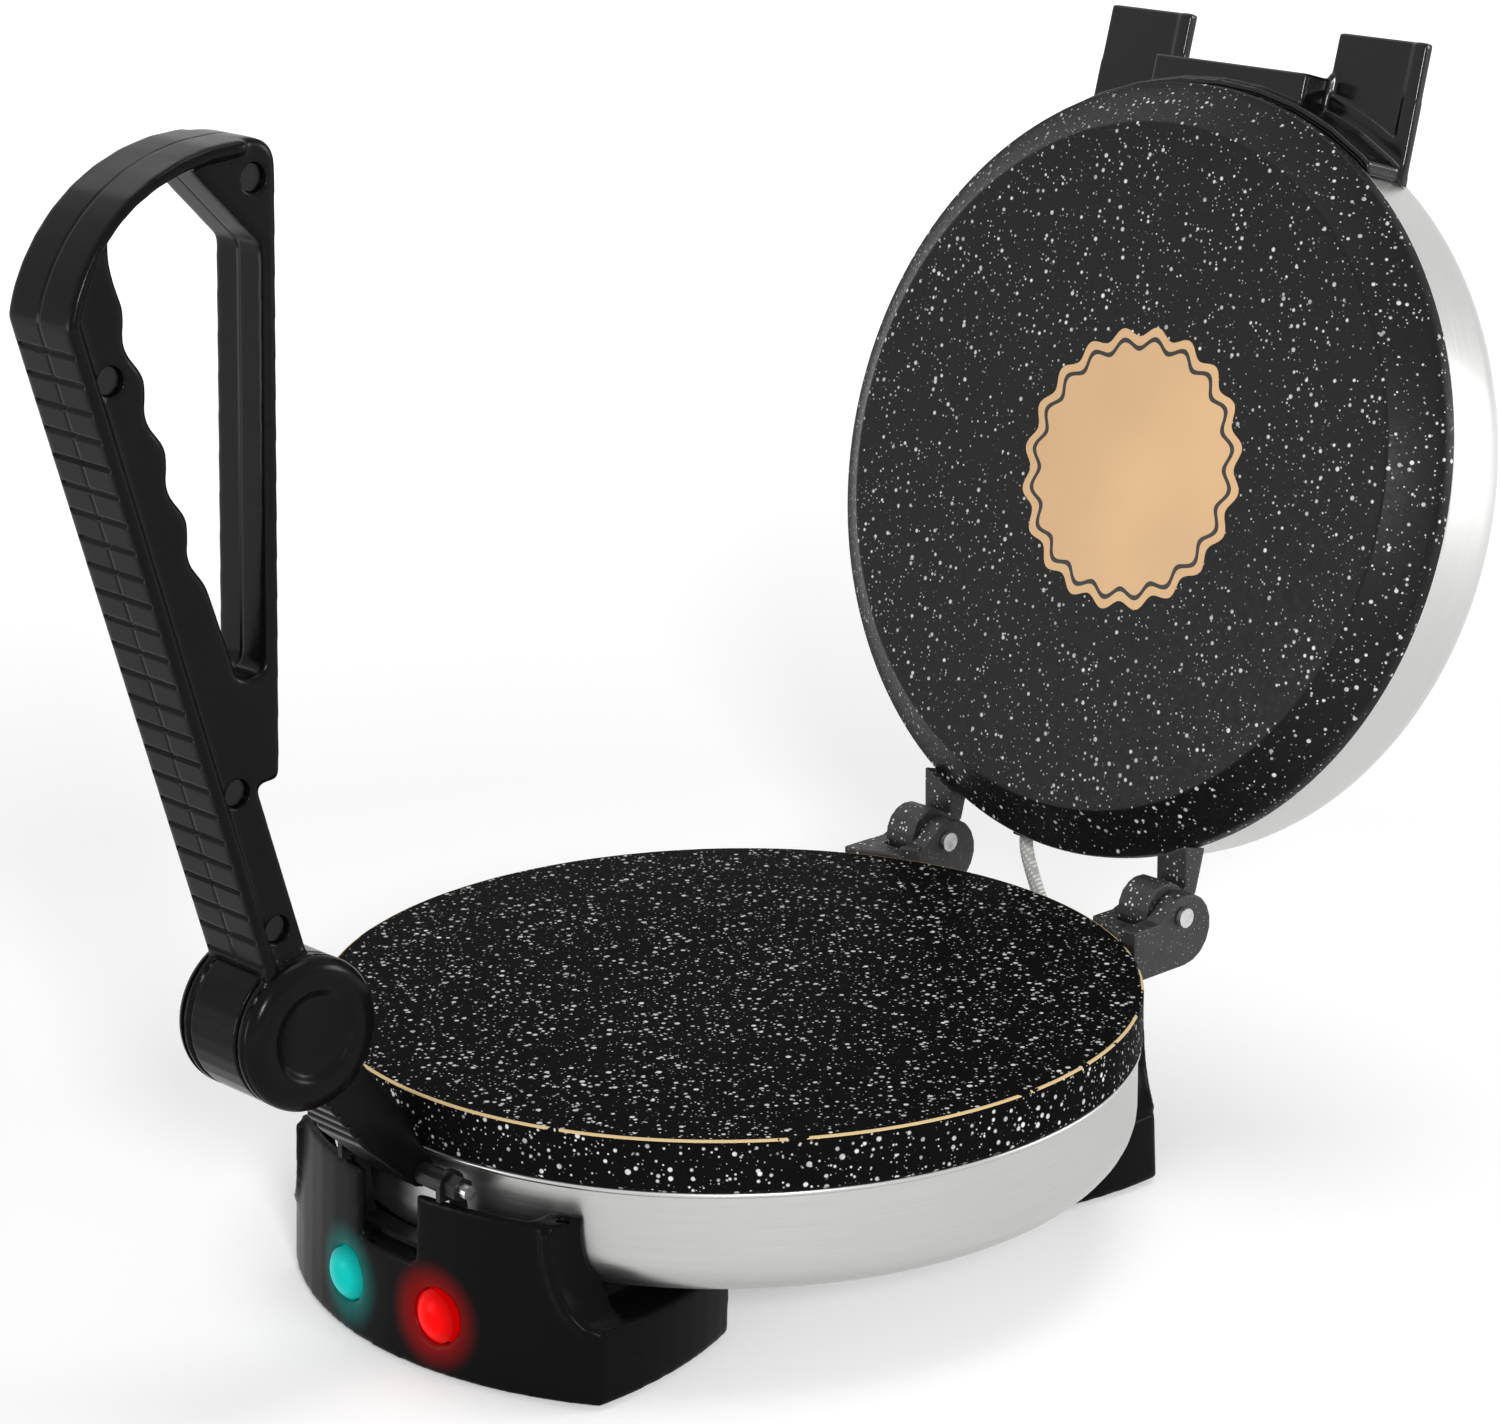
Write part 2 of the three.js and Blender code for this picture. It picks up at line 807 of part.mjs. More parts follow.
const frontHousing = lampSides.reduce(
  (housing, [side]) => housing.subtract(rod(
    at(side * lamp.x, -foot.apex - overrun, lamp.z),
    at(side * lamp.x, -lamp.back, lamp.z),
    lampHole,
    barrelSteps / 2,
  )),
  footHousing(),
);
addPiece(base, 'front_foot', 'plastic', frontHousing);
addPiece(base, 'front_foot_cover', 'plastic', footCover);
for (const [side, colour] of lampSides) {
  const place = at(side * lamp.x, -lamp.back, lamp.z);
  const lens = turnedAlong(outwards, place, lensProfile, barrelSteps / 2);
  addPiece(base, `${colour}_lamp_lens`, `${colour}Lens`, lens);
  addPiece(base, `${colour}_neon_lamp`, 'bulb', turnedAlong(outwards, place, bulbProfile, pinSteps));
}

const terminal = {
  halfLength: 16,
  frontSetback: 33,
  length: 14,
  height: 12,
};
terminal.front = foot.apex - terminal.frontSetback;
terminal.rear = terminal.front - terminal.length;
addPiece(base, 'terminal_block', 'ceramic', block(
  -terminal.halfLength,
  terminal.halfLength,
  -terminal.front,
  -terminal.rear,
  coverTop + gap,
  coverTop + gap + terminal.height,
));

// Rear foot: the same moulding, turned round, with a bush for the mains cord in its face
const inlet = {
  x: 34,
  z: 15,
  radius: 4.5,
  flangeRadius: 6.5,
  flange: 2.5,
  bore: 3.2,
  depth: 6,
};
const faceCentreY = foot.faceRadius - foot.apex;
inlet.faceY = faceCentreY - Math.sqrt(foot.faceRadius ** 2 - (inlet.x - inlet.flangeRadius) ** 2);
const rearHousing = footHousing().subtract(rod(
  at(inlet.x, -foot.apex - overrun, inlet.z),
  at(inlet.x, -foot.endY - foot.endHalfWidth, inlet.z),
  inlet.radius + gap,
));
const turnedRound = new THREE.Group();
turnedRound.rotation.z = Math.PI;
base.add(turnedRound);
addPiece(turnedRound, 'rear_foot', 'plastic', rearHousing);
addPiece(turnedRound, 'rear_foot_cover', 'plastic', footCover);
addPiece(turnedRound, 'cord_inlet_bush', 'rubber', turnedAlong(
  outwards,
  at(inlet.x, inlet.faceY - gap, inlet.z),
  [
    [inlet.bore, -inlet.depth],
    [inlet.radius, -inlet.depth],
    [inlet.radius, 0],
    [inlet.flangeRadius, 0],
    [inlet.flangeRadius, inlet.flange],
    [inlet.bore, inlet.flange],
  ],
));

for (const [side, sideName] of [[-1, 'left'], [1, 'right']]) {
  for (const [end, endName] of [[-1, 'front'], [1, 'rear']]) {
    const mesh = addPiece(base, `rubber_foot_${endName}_${sideName}`, 'rubber', rubberPad);
    mesh.position.set(side * pad.x, end * pad.y, 0);
  }
}

// Steel bracket in the front recess, with the pin of the lever arm through its two ears
const pivot = at(0, lever.pivotY, lever.pivotZ);
const bracketOuter = pivotBracket.earInner + pivotBracket.sheet;
const bracketFloor = foot.recessFloor + gap;
const earTopY = lever.pivotY - lever.eyeRadius;
const earShape = new THREE.Shape();
earShape.moveTo(-pivotBracket.front, bracketFloor);
earShape.lineTo(-pivotBracket.rear, bracketFloor);
earShape.lineTo(lever.pivotY + lever.eyeRadius, lever.pivotZ);
earShape.absarc(lever.pivotY, lever.pivotZ, lever.eyeRadius, 0, Math.PI);
earShape.lineTo(earTopY, pivotBracket.earTop);
earShape.lineTo(-pivotBracket.front, pivotBracket.earTop);
const bracketEar = prismAlongX(earShape, pivotBracket.earInner, bracketOuter);
const bracketFloorPlate = block(
  -bracketOuter,
  bracketOuter,
  -pivotBracket.front,
  -pivotBracket.rear,
  bracketFloor,
  bracketFloor + pivotBracket.sheet,
);
const leverPinHole = lever.pinRadius + gap;
const pinReach = bracketOuter + pivotBracket.nutGap + pivotBracket.nutLength;
addPiece(base, 'lever_bracket', 'blackSteel', cut(
  join(bracketFloorPlate, bracketEar, mirrored(bracketEar)),
  lowerHalfEnvelope(gap),
  rod(at(-pinReach, pivot.y, pivot.z), at(pinReach, pivot.y, pivot.z), leverPinHole),
));
const pinHeadFace = -bracketOuter - gap;
const alongX = at(1, 0, 0);
addPiece(base, 'lever_pivot_pin', 'zinc', turnedAlong(alongX, pivot, [
  [0, pinHeadFace - pivotBracket.sheet],
  [pivotBracket.nutRadius, pinHeadFace - pivotBracket.sheet],
  [pivotBracket.nutRadius, pinHeadFace],
  [lever.pinRadius, pinHeadFace],
  [lever.pinRadius, pinReach + pivotBracket.sheet],
  [0, pinReach + pivotBracket.sheet],
]));
const nutStart = bracketOuter + gap;
addPiece(base, 'lever_pivot_nut', 'zinc', turnedAlong(alongX, pivot, [
  [leverPinHole, nutStart],
  [pivotBracket.nutRadius, nutStart],
  [pivotBracket.nutRadius, nutStart + pivotBracket.nutLength],
  [leverPinHole, nutStart + pivotBracket.nutLength],
], 6));
const spacer = turnedAlong(alongX, pivot, [
  [leverPinHole, lever.halfWidth + gap],
  [pivotBracket.spacerRadius, lever.halfWidth + gap],
  [pivotBracket.spacerRadius, pivotBracket.earInner - gap],
  [leverPinHole, pivotBracket.earInner - gap],
]);
addPiece(base, 'lever_spacer_right', 'zinc', spacer);
addPiece(base, 'lever_spacer_left', 'zinc', mirrored(spacer));

// Hinge lugs: one casting used on both sides, with an ear on its right and a tail on the pan's wall
const axisPoint = (x) => at(x, hinge.y, hinge.z);
const strapLow = hinge.spread - hinge.strapHalfWidth;
const strapHigh = hinge.spread + hinge.strapHalfWidth;
const earLow = strapHigh + gap;
const earHigh = earLow + hinge.earWidth;
const cheekHigh = strapLow - gap;
const cheekLow = cheekHigh - hinge.earWidth;
const earCentreY = hinge.y + hinge.earRearward;
const earCentreZ = hinge.z - hinge.earLower;
const lugBottom = earCentreZ - hinge.earRadius;
const slotFloor = hinge.z - hinge.eyeRadius - gap - gap / 3;
const seatY = plateRadius - hinge.seatInset;
const frontWall = {
  rear: hinge.eyeRadius + gap + gap,
  top: 2.4,
};
const frontRear = hinge.y - frontWall.rear;
const earShapeRear = polygon([
  [seatY, lugBottom],
  ...arc(earCentreY, earCentreZ, hinge.earRadius, -90, 110, 10),
  [frontRear, hinge.z],
  [seatY, hinge.z],
]);
const cheek = {
  rear: 11.6,
  rearTop: 3.1,
  middle: 3.6,
  middleTop: 0.4,
  frontTop: 2.5,
};
const cheekShape = polygon([
  [seatY, lugBottom],
  [hinge.y + cheek.middle, lugBottom],
  [hinge.y + cheek.rear, hinge.z - cheek.rear],
  [hinge.y + cheek.rear, hinge.z + cheek.rearTop],
  [hinge.y + cheek.middle, hinge.z + cheek.middleTop],
  [hinge.y - cheek.middle, hinge.z - cheek.frontTop],
  [seatY, hinge.z - cheek.frontTop],
]);
const pinHole = rod(axisPoint(cheekLow - overrun), axisPoint(earHigh + overrun), hinge.pinRadius + gap);
const tailTop = lugBottom + tail.thickness;
const lugShift = -2 * hinge.spread;

function moved(body, x) {
  return solid(geometryOf(body).translate(x, 0, 0));
}

const lugHead = join(
  prismAlongX(earShapeRear, earLow, earHigh),
  prismAlongX(cheekShape, cheekLow, cheekHigh),
  block(cheekLow, earHigh, seatY, earCentreY, lugBottom, slotFloor),
  block(cheekLow, earHigh, seatY, frontRear, lugBottom, hinge.z - frontWall.top),
);
function hingeLug(side, shift) {
  const low = side * tail.x - tail.halfWidth;
  const tailRing = ring(pan.radius + gap, plateRadius + tail.thickness, tail.bottom, tailTop)
    .intersect(block(low, low + tail.halfWidth + tail.halfWidth, 0, hinge.y, 0, clearTop));
  const passage = side > 0 ? rivetPassage : mirrored(rivetPassage);
  return cut(
    join(moved(lugHead, shift), tailRing),
    lowerHalfEnvelope(gap),
    moved(pinHole, shift),
    passage,
  );
}
const rightPin = turnedAlong(alongX, axisPoint(0), [
  [0, strapLow],
  [hinge.pinRadius, strapLow],
  [hinge.pinRadius, earHigh + gap],
  [hinge.pinHeadRadius, earHigh + gap],
  [hinge.pinHeadRadius, earHigh + gap + hinge.pinHead],
  [0, earHigh + gap + hinge.pinHead],
]);
const rivetInner = pan.radius - sheet - gap;
const rivetOuter = plateRadius + tail.thickness + gap;
const rightRivet = turnedAlong(rivetWay, at(0, 0, rivet.z), [
  [0, rivetInner - rivet.head],
  [rivet.headRadius, rivetInner - rivet.head],
  [rivet.headRadius, rivetInner],
  [rivet.radius, rivetInner],
  [rivet.radius, rivetOuter],
  [rivet.headRadius, rivetOuter],
  [rivet.headRadius, rivetOuter + rivet.head],
  [0, rivetOuter + rivet.head],
], pinSteps / 2);
addPiece(base, 'hinge_lug_right', 'casting', hingeLug(1, 0));
addPiece(base, 'hinge_lug_left', 'casting', hingeLug(-1, lugShift));
addPiece(base, 'hinge_pin_right', 'zinc', rightPin);
addPiece(base, 'hinge_pin_left', 'zinc', moved(rightPin, lugShift));
addPiece(base, 'hinge_rivet_right', 'zinc', rightRivet);
addPiece(base, 'hinge_rivet_left', 'zinc', mirrored(rightRivet));

// The lid turns about the hinge axis; its pieces are drawn shut, in the machine's own places
const shutFrame = new THREE.Group();
shutFrame.position.set(0, -hinge.y, -hinge.z);
lidGroup.position.set(0, hinge.y, hinge.z);
lidGroup.rotation.x = -THREE.MathUtils.degToRad(lidOpenAngle);
lidGroup.add(shutFrame);

// Round badge with a scalloped edge, let into the face of the upper plate
function badgeShape(growth) {
  const count = badge.scallopCount * badge.pointsPerScallop;
  return polygon(Array.from({ length: count }, (_, i) => {
    const angle = (2 * Math.PI * i) / count;
    const wave = badge.scallop * Math.cos(angle * badge.scallopCount);
    const radius = badge.radius + growth + wave;
    return [badge.x + radius * Math.cos(angle), badge.y + radius * Math.sin(angle)];
  }));
}

const upperPlate = turned([
  [0, lid.face],
  [lid.discRadius, lid.face],
  [lid.discRadius + lid.bevelReach, lid.face + lid.bevelRise],
  [plateRadius, lid.rim - lid.rimEdge],
  [plateRadius, lid.rim],
  [plateRadius - plate.skirtWidth, lid.rim],
  [plateRadius - plate.skirtWidth, lid.upperside],
  [plate.bossRadius, lid.upperside],
  [plate.bossRadius, lid.upperside + plate.bossHeight],
  [bolt.hole, lid.upperside + plate.bossHeight],
  [bolt.hole, lid.face + plate.boltDepth],
  [0, lid.face + plate.boltDepth],
]);
const badgePocketFloor = lid.face + badge.thickness + gap;
addPiece(shutFrame, 'upper_plate', 'coating', upperPlate.subtract(
  solid(prism(badgeShape(gap), lid.face - overrun, badgePocketFloor)),
));
addPiece(shutFrame, 'badge_plate', 'gold', solid(prism(badgeShape(0), lid.face, lid.face + badge.thickness)));

// Upper shell: the same kind of pressed bowl, upside down, with a softer corner
const lidBushHole = rod(
  at(lead.lidX, pan.radius - overrun, lead.lidZ),
  at(lead.lidX, plateRadius + overrun, lead.lidZ),
  bushHole,
);
const bracketScrewHole = (side) => rod(
  at(side * bracket.screwX, -plateRadius + overrun + sheet, bracket.screwZ),
  at(side * bracket.screwX, -pan.radius - bracket.screwLength + sheet, bracket.screwZ),
  screw.radius + gap,
);
const shellTurn = steelBowl(-lid.shellTop, -lid.shellBottom, lid.cornerRadius, 5)
  .map(([radius, height]) => [radius, -height]);
addPiece(shutFrame, 'upper_shell', 'steel', cut(
  turned(shellTurn),
  lidBushHole,
  bracketScrewHole(1),
  bracketScrewHole(-1),
));

const upperTubeZ = lid.upperside + gap + heater.tubeRadius;
addPiece(shutFrame, 'upper_heating_element', 'blackSteel', heatingElement(upperTubeZ));
const upperPressBottom = upperTubeZ + heater.tubeRadius + gap;
const upperPressTop = upperPressBottom + heater.pressThickness;
addPiece(shutFrame, 'upper_press_plate', 'zinc', ring(
  bossClearance,
  heater.pressRadius,
  upperPressBottom,
  upperPressTop,
));
addPiece(shutFrame, 'upper_insulation', 'wool', ring(
  bossClearance,
  heater.woolRadius,
  upperPressTop + gap,
  upperPressTop + gap + heater.woolThickness,
));
addPiece(shutFrame, 'upper_centre_bolt', 'zinc', turned([
  [0, lid.face + plate.boltDepth + gap],
  [bolt.radius, lid.face + plate.boltDepth + gap],
  [bolt.radius, lid.shellTop + gap],
  [bolt.headRadius, lid.shellTop + gap],
  [bolt.headRadius, lid.shellTop + gap + bolt.headHeight / 2],
  [bolt.headRadius / 2, lid.shellTop + gap + bolt.headHeight],
  [0, lid.shellTop + gap + bolt.headHeight],
], pinSteps));

// Hinge arms: an eye on the hinge pin, and a bar to the rim of the upper plate
const bar = {
  reach: 18.5,
  low: 3,
  high: 11.4,
  kneeBack: 5.9,
  kneeFront: 4.6,
  kneeLow: 6.9,
  rear: 2,
};
const barShape = polygon([
  [hinge.y - bar.reach, hinge.z + bar.low],
  [hinge.y - bar.kneeFront, hinge.z + bar.kneeLow],
  [hinge.y, hinge.z],
  [hinge.y + bar.rear, hinge.z + hinge.eyeRadius - gap],
  [hinge.y - bar.kneeBack, hinge.z + bar.high],
  [hinge.y - bar.reach, hinge.z + bar.high],
]);
const armBlank = join(
  rod(axisPoint(strapLow), axisPoint(strapHigh), hinge.eyeRadius, barrelSteps / 2),
  prismAlongX(barShape, strapLow, strapHigh),
);
const hingeArm = (shift) => cut(moved(armBlank, shift), lidEnvelope(gap), moved(pinHole, shift));
addPiece(shutFrame, 'hinge_arm_right', 'casting', hingeArm(0));
addPiece(shutFrame, 'hinge_arm_left', 'casting', hingeArm(lugShift));

// Lid bracket: a bridge over the front of the rim, with a lifting tab at each end
const rightTab = polygon([
  [bracket.tabInner, -bracket.tabReach],
  [bracket.tabOuter, -bracket.tabReach],
  [bracket.tabOuter + sheet, -bracket.tabRoot],
  [bracket.tabInner, -bracket.tabRoot],
]);
const tabSolid = solid(prism(rightTab, bracket.tabBottom, bracket.tabTop));
const band = ring(pan.radius + gap, plateRadius + bracket.bandThickness, bracket.bandBottom, bracket.tabTop)
  .intersect(block(-bracket.tabOuter, bracket.tabOuter, -bracket.tabReach, -bracket.bandRoot, 0, clearTop));
const bridge = block(
  -bracket.tabInner - sheet,
  bracket.tabInner + sheet,
  -bracket.bridgeReach,
  -bracket.tabRoot,
  bracket.bridgeBottom,
  bracket.bridgeTop,
);
const bridgeLowered = block(
  -bracket.tabInner,
  bracket.tabInner,
  -bracket.tabReach,
  -bracket.tabRoot + overrun,
  bracket.bridgeTop,
  clearTop,
);
addPiece(shutFrame, 'lid_bracket', 'plastic', cut(
  join(band, bridge, tabSolid, mirrored(tabSolid)),
  lidEnvelope(gap),
  bridgeLowered,
  bracketScrewHole(1),
  bracketScrewHole(-1),
));
const screwSeat = pan.radius - sheet - 2 * gap;
const screwHeadY = -Math.sqrt(screwSeat ** 2 - (bracket.screwX + screw.headRadius) ** 2) + gap;
const bracketScrew = turnedAlong(outwards, at(bracket.screwX, screwHeadY, bracket.screwZ), [
  [0, -screw.headHeight],
  [screw.headRadius, -screw.headHeight],
  [screw.headRadius, 0],
  [screw.radius, 0],
  [screw.radius, bracket.screwLength],
  [0, bracket.screwLength],
], pinSteps / 2);
addPiece(shutFrame, 'lid_bracket_screw_right', 'zinc', bracketScrew);
addPiece(shutFrame, 'lid_bracket_screw_left', 'zinc', mirrored(bracketScrew));

// Sleeved heater lead from the pan to the lid, past the hinge axis, in a bush at each end
const bushBore = lead.radius + gap + gap / 2;
function leadBush(x, z) {
  const seat = Math.sqrt(pan.radius ** 2 - (Math.abs(x) - lead.bushRadius) ** 2) + gap;
  return turnedAlong(at(0, 1, 0), at(x, seat, z), [
    [bushBore, -lead.inside],
    [lead.sleeve + gap, -lead.inside],
    [lead.sleeve + gap, 0],
    [lead.bushRadius, 0],
    [lead.bushRadius, lead.bushFlange],
    [bushBore, lead.bushFlange],
  ]);
}
addPiece(base, 'lead_bush_pan', 'rubber', leadBush(lead.baseX, lead.baseZ));
addPiece(shutFrame, 'lead_bush_lid', 'rubber', leadBush(lead.lidX, lead.lidZ));

// Where a point of the shut lid lies when the lid stands open
const openTurn = -THREE.MathUtils.degToRad(lidOpenAngle);
function opened(x, y, z) {
  const point = at(x, y - hinge.y, z - hinge.z).applyAxisAngle(alongX, openTurn);
  return point.add(at(0, hinge.y, hinge.z));
}
const leadInside = pan.radius - lead.inside;
const leadOutside = plateRadius + lead.bushFlange;
const leadRoute = [
  at(lead.baseX, leadInside, lead.baseZ),
  at(lead.baseX, leadOutside, lead.baseZ),
  at(lead.lowX, lead.lowY, lead.lowZ),
  at(lead.middleX, lead.middleY, lead.middleZ),
  at(lead.highX, lead.highY, lead.highZ),
  opened(lead.lidX, leadOutside, lead.lidZ),
  opened(lead.lidX, leadInside, lead.lidZ),
];
const leadSection = new THREE.Shape();
leadSection.absarc(0, 0, lead.radius, 0, 2 * Math.PI);
addPiece(base, 'lid_lead', 'sleeving', solid(new THREE.ExtrudeGeometry(leadSection, {
  steps: lead.steps,
  curveSegments: lead.sides / 2,
  extrudePath: new THREE.CatmullRomCurve3(leadRoute),
})));

// Lever arm: hub in the middle of the barrel, a ribbed shank, and an eye on its pin
const shank = new THREE.Vector2(lever.barrelY - lever.pivotY, lever.barrelZ - lever.pivotZ);
const shankLength = shank.length();
const shankWay = shank.clone().normalize();
const shankFront = new THREE.Vector2(-shankWay.y, shankWay.x);
function onShank(along, forwards) {
  return [
    lever.pivotY + shankWay.x * along + shankFront.x * forwards,
    lever.pivotZ + shankWay.y * along + shankFront.y * forwards,
  ];
}
const ribNotches = Array.from({ length: lever.ribCount }, (_, i) => {
  const start = lever.ribStart + i * lever.ribPitch;
  return [
    onShank(start, lever.frontDepth),
    onShank(start + lever.ribDepth, lever.frontDepth - lever.ribDepth),
    onShank(start + lever.ribPitch / 2, lever.frontDepth),
  ];
}).flat();
const shankShape = polygon([
  onShank(0, -lever.eyeRadius),
  onShank(0, lever.eyeRadius),
  onShank(lever.taperLength, lever.frontDepth),
  ...ribNotches,
  onShank(shankLength, lever.frontDepth),
  onShank(shankLength, -lever.rearDepth),
  onShank(lever.taperLength, -lever.rearDepth),
]);
const barrelCentre = at(0, lever.barrelY, lever.barrelZ);
const acrossArm = (place, half) => [at(-half, place.y, place.z), at(half, place.y, place.z)];
const barrelPinHole = barrel.pinRadius + gap;
const armBody = cut(
  join(
    prismAlongX(shankShape, -lever.halfWidth, lever.halfWidth),
    rod(...acrossArm(barrelCentre, lever.halfWidth), barrel.radius, barrelSteps),
    rod(...acrossArm(pivot, lever.halfWidth), lever.eyeRadius, pinSteps),
  ),
  rod(...acrossArm(barrelCentre, barrel.halfLength), barrelPinHole),
  rod(...acrossArm(pivot, barrel.halfLength), leverPinHole),
);
addPiece(armGroup, 'lever_arm', 'plastic', armBody);
const barrelPinEnd = barrel.capFace - gap;
addPiece(armGroup, 'barrel_pin', 'zinc', rod(...acrossArm(barrelCentre, barrelPinEnd), barrel.pinRadius));

// Handle half: ribbed grip, finger window with a guard bar behind it, stem and hub
const lean = THREE.MathUtils.degToRad(handle.lean);
const gripWay = new THREE.Vector2(-Math.sin(lean), Math.cos(lean));
const gripInwards = new THREE.Vector2(Math.cos(lean), Math.sin(lean));
function onGrip(along, inwards) {
  return [
    handle.startY + gripWay.x * along + gripInwards.x * inwards,
    handle.startZ + gripWay.y * along + gripInwards.y * inwards,
  ];
}
function onGuard(height, thickness) {
  const share = (height - handle.guardBottomZ) / (handle.guardTopZ - handle.guardBottomZ);
  return [handle.guardBottomY + (handle.guardTopY - handle.guardBottomY) * share - thickness, height];
}

const gripTop = onGrip(handle.ribbedLength, 0);
const bend = {
  startY: 3.7,
  startZ: 16,
  endY: 23,
  endZ: 3.4,
  crownY: 5.3,
  crownZ: 13,
  crownEndY: 25.7,
  crownEndZ: 1.6,
};

// The ribbed front and the bend over the top, from the barrel to the rear end of the band
function frontOutline() {
  const shape = new THREE.Shape();
  shape.moveTo(...onGrip(0, 0));
  for (let i = 0; i < handle.ribCount; i += 1) {
    const start = handle.ribFirst + i * handle.ribPitch;
    shape.lineTo(...onGrip(start, 0));
    shape.lineTo(...onGrip(start + handle.ribWidth / 2, handle.ribDepth));
    shape.lineTo(...onGrip(start + handle.ribWidth, 0));
  }
  shape.lineTo(...gripTop);
  shape.bezierCurveTo(
    gripTop[0] + bend.startY,
    gripTop[1] + bend.startZ,
    handle.bendEndY - bend.endY,
    handle.bendEndZ - bend.endZ,
    handle.bendEndY,
    handle.bendEndZ,
  );
  shape.lineTo(handle.topY, handle.topZ);
  return shape;
}

const bandShape = frontOutline();
const bandTop = onGrip(handle.ribbedLength, handle.bandDepth);
bandShape.lineTo(handle.topY, handle.topZ - handle.bandDepth);
bandShape.lineTo(handle.bendEndY, handle.bendEndZ - handle.bandDepth);
bandShape.bezierCurveTo(
  handle.bendEndY - bend.endY,
  handle.bendEndZ - bend.endZ - handle.bandDepth,
  bandTop[0] + bend.startY,
  bandTop[1] + bend.startZ - sheet,
  ...bandTop,
);
bandShape.lineTo(...onGrip(0, handle.bandDepth));

const handleShape = frontOutline();
handleShape.quadraticCurveTo(handle.guardTopY, handle.topZ, ...onGuard(handle.guardTopZ, 0));
const chinAlong = (handle.chinZ - handle.startZ) / gripWay.y;
handleShape.lineTo(...onGuard(handle.guardBottomZ + handle.chinRise, 0));
handleShape.quadraticCurveTo(
  ...onGuard(handle.guardBottomZ, 0),
  ...onGrip(chinAlong, handle.stemDepth + handle.chinFlat),
);
handleShape.lineTo(...onGrip(chinAlong, handle.stemDepth));
handleShape.lineTo(...onGrip(0, handle.stemDepth));
handleShape.lineTo(handle.startY + handle.stemDepth, handle.stemEndZ);
handleShape.lineTo(handle.startY, handle.stemEndZ);

const scallopSteps = 32;
const scallopLength = handle.scallopPitch * handle.scallopCount;
const windowPath = new THREE.Path();
const guardFoot = onGuard(handle.windowBottomZ + handle.windowBottomRadius, handle.guardThickness);
windowPath.moveTo(...guardFoot);
windowPath.lineTo(...onGuard(handle.chamferZ, handle.guardThickness));
windowPath.lineTo(handle.windowTopY, handle.windowTopZ);
const gripCrown = onGrip(handle.scallopStart + scallopLength, handle.gripDepth + handle.scallopDepth);
windowPath.bezierCurveTo(
  handle.windowTopY - bend.crownEndY,
  handle.windowTopZ - bend.crownEndZ,
  gripCrown[0] - bend.crownY,
  gripCrown[1] + bend.crownZ,
  ...gripCrown,
);
for (let i = scallopSteps - 1; i >= 0; i -= 1) {
  const along = (scallopLength * i) / scallopSteps;
  const phase = (2 * Math.PI * along) / handle.scallopPitch;
  const depth = handle.gripDepth + (handle.scallopDepth * (1 + Math.cos(phase))) / 2;
  windowPath.lineTo(...onGrip(handle.scallopStart + along, depth));
}
windowPath.lineTo(handle.windowFootY, guardFoot[1]);
windowPath.quadraticCurveTo(
  handle.windowFootY,
  handle.windowBottomZ,
  handle.windowBottomY,
  handle.windowBottomZ,
);
windowPath.quadraticCurveTo(guardFoot[0], handle.windowBottomZ, ...guardFoot);
handleShape.holes.push(windowPath);

const hollowShape = polygon([
  onGrip(handle.hollowStart, handle.bandDepth),
  onGrip(handle.hollowEnd, handle.bandDepth),
  onGrip(handle.hollowEnd, handle.gripDepth - handle.wall),
  onGrip(handle.hollowStart, handle.gripDepth - handle.wall),
]);

// The four screws that hold the two halves together, from the centre of the barrel
const screwPlaces = {
  top: [-2.6, 207.8],
  grip: [-44.4, 167.3],
  guard: [-15.3, 63.6],
  stem: [-5.6, 27.2],
};
const seam = gap / 2;
const headFace = handle.sideHalfWidth - screw.recess;
const headSeat = headFace - screw.headHeight - gap;

function fromBarrel(body) {
  const moved = geometryOf(body).translate(0, lever.barrelY, lever.barrelZ);
  return solid(moved);
}

function screwPassage([y, z]) {
  const outside = handle.bandHalfWidth + overrun;
  const shaft = rod(at(-screw.far - gap, y, z), at(outside, y, z), screw.radius + gap);
  const head = rod(at(headSeat, y, z), at(outside, y, z), screw.headRadius + gap);
  return shaft.add(head);
}

const hubInner = lever.halfWidth + gap;
const hubHalf = rod(at(hubInner, 0, 0), at(barrel.capFace - gap, 0, 0), barrel.radius, barrelSteps);
const armClear = rod(
  at(-hubInner, 0, 0),
  at(hubInner, 0, 0),
  barrel.radius + gap,
  barrelSteps,
);
const capClear = rod(
  at(barrel.capFace - gap, 0, 0),
  at(barrel.halfLength + overrun, 0, 0),
  barrel.radius + gap,
  barrelSteps,
);
function handleHalf() {
  const side = prismAlongX(handleShape, seam, handle.sideHalfWidth);
  const band = prismAlongX(bandShape, seam, handle.bandHalfWidth);
  return cut(
    join(cut(join(side, band), armClear), hubHalf),
    capClear,
    prismAlongX(hollowShape, -overrun, handle.sideHalfWidth - handle.wall),
    rod(at(0, 0, 0), at(barrel.halfLength, 0, 0), barrelPinHole),
  );
}
const passages = Object.values(screwPlaces).map(screwPassage);
addPiece(handleGroup, 'handle_half_right', 'plastic', fromBarrel(cut(handleHalf(), ...passages)));
addPiece(handleGroup, 'handle_half_left', 'plastic', fromBarrel(cut(mirrored(handleHalf()), ...passages)));

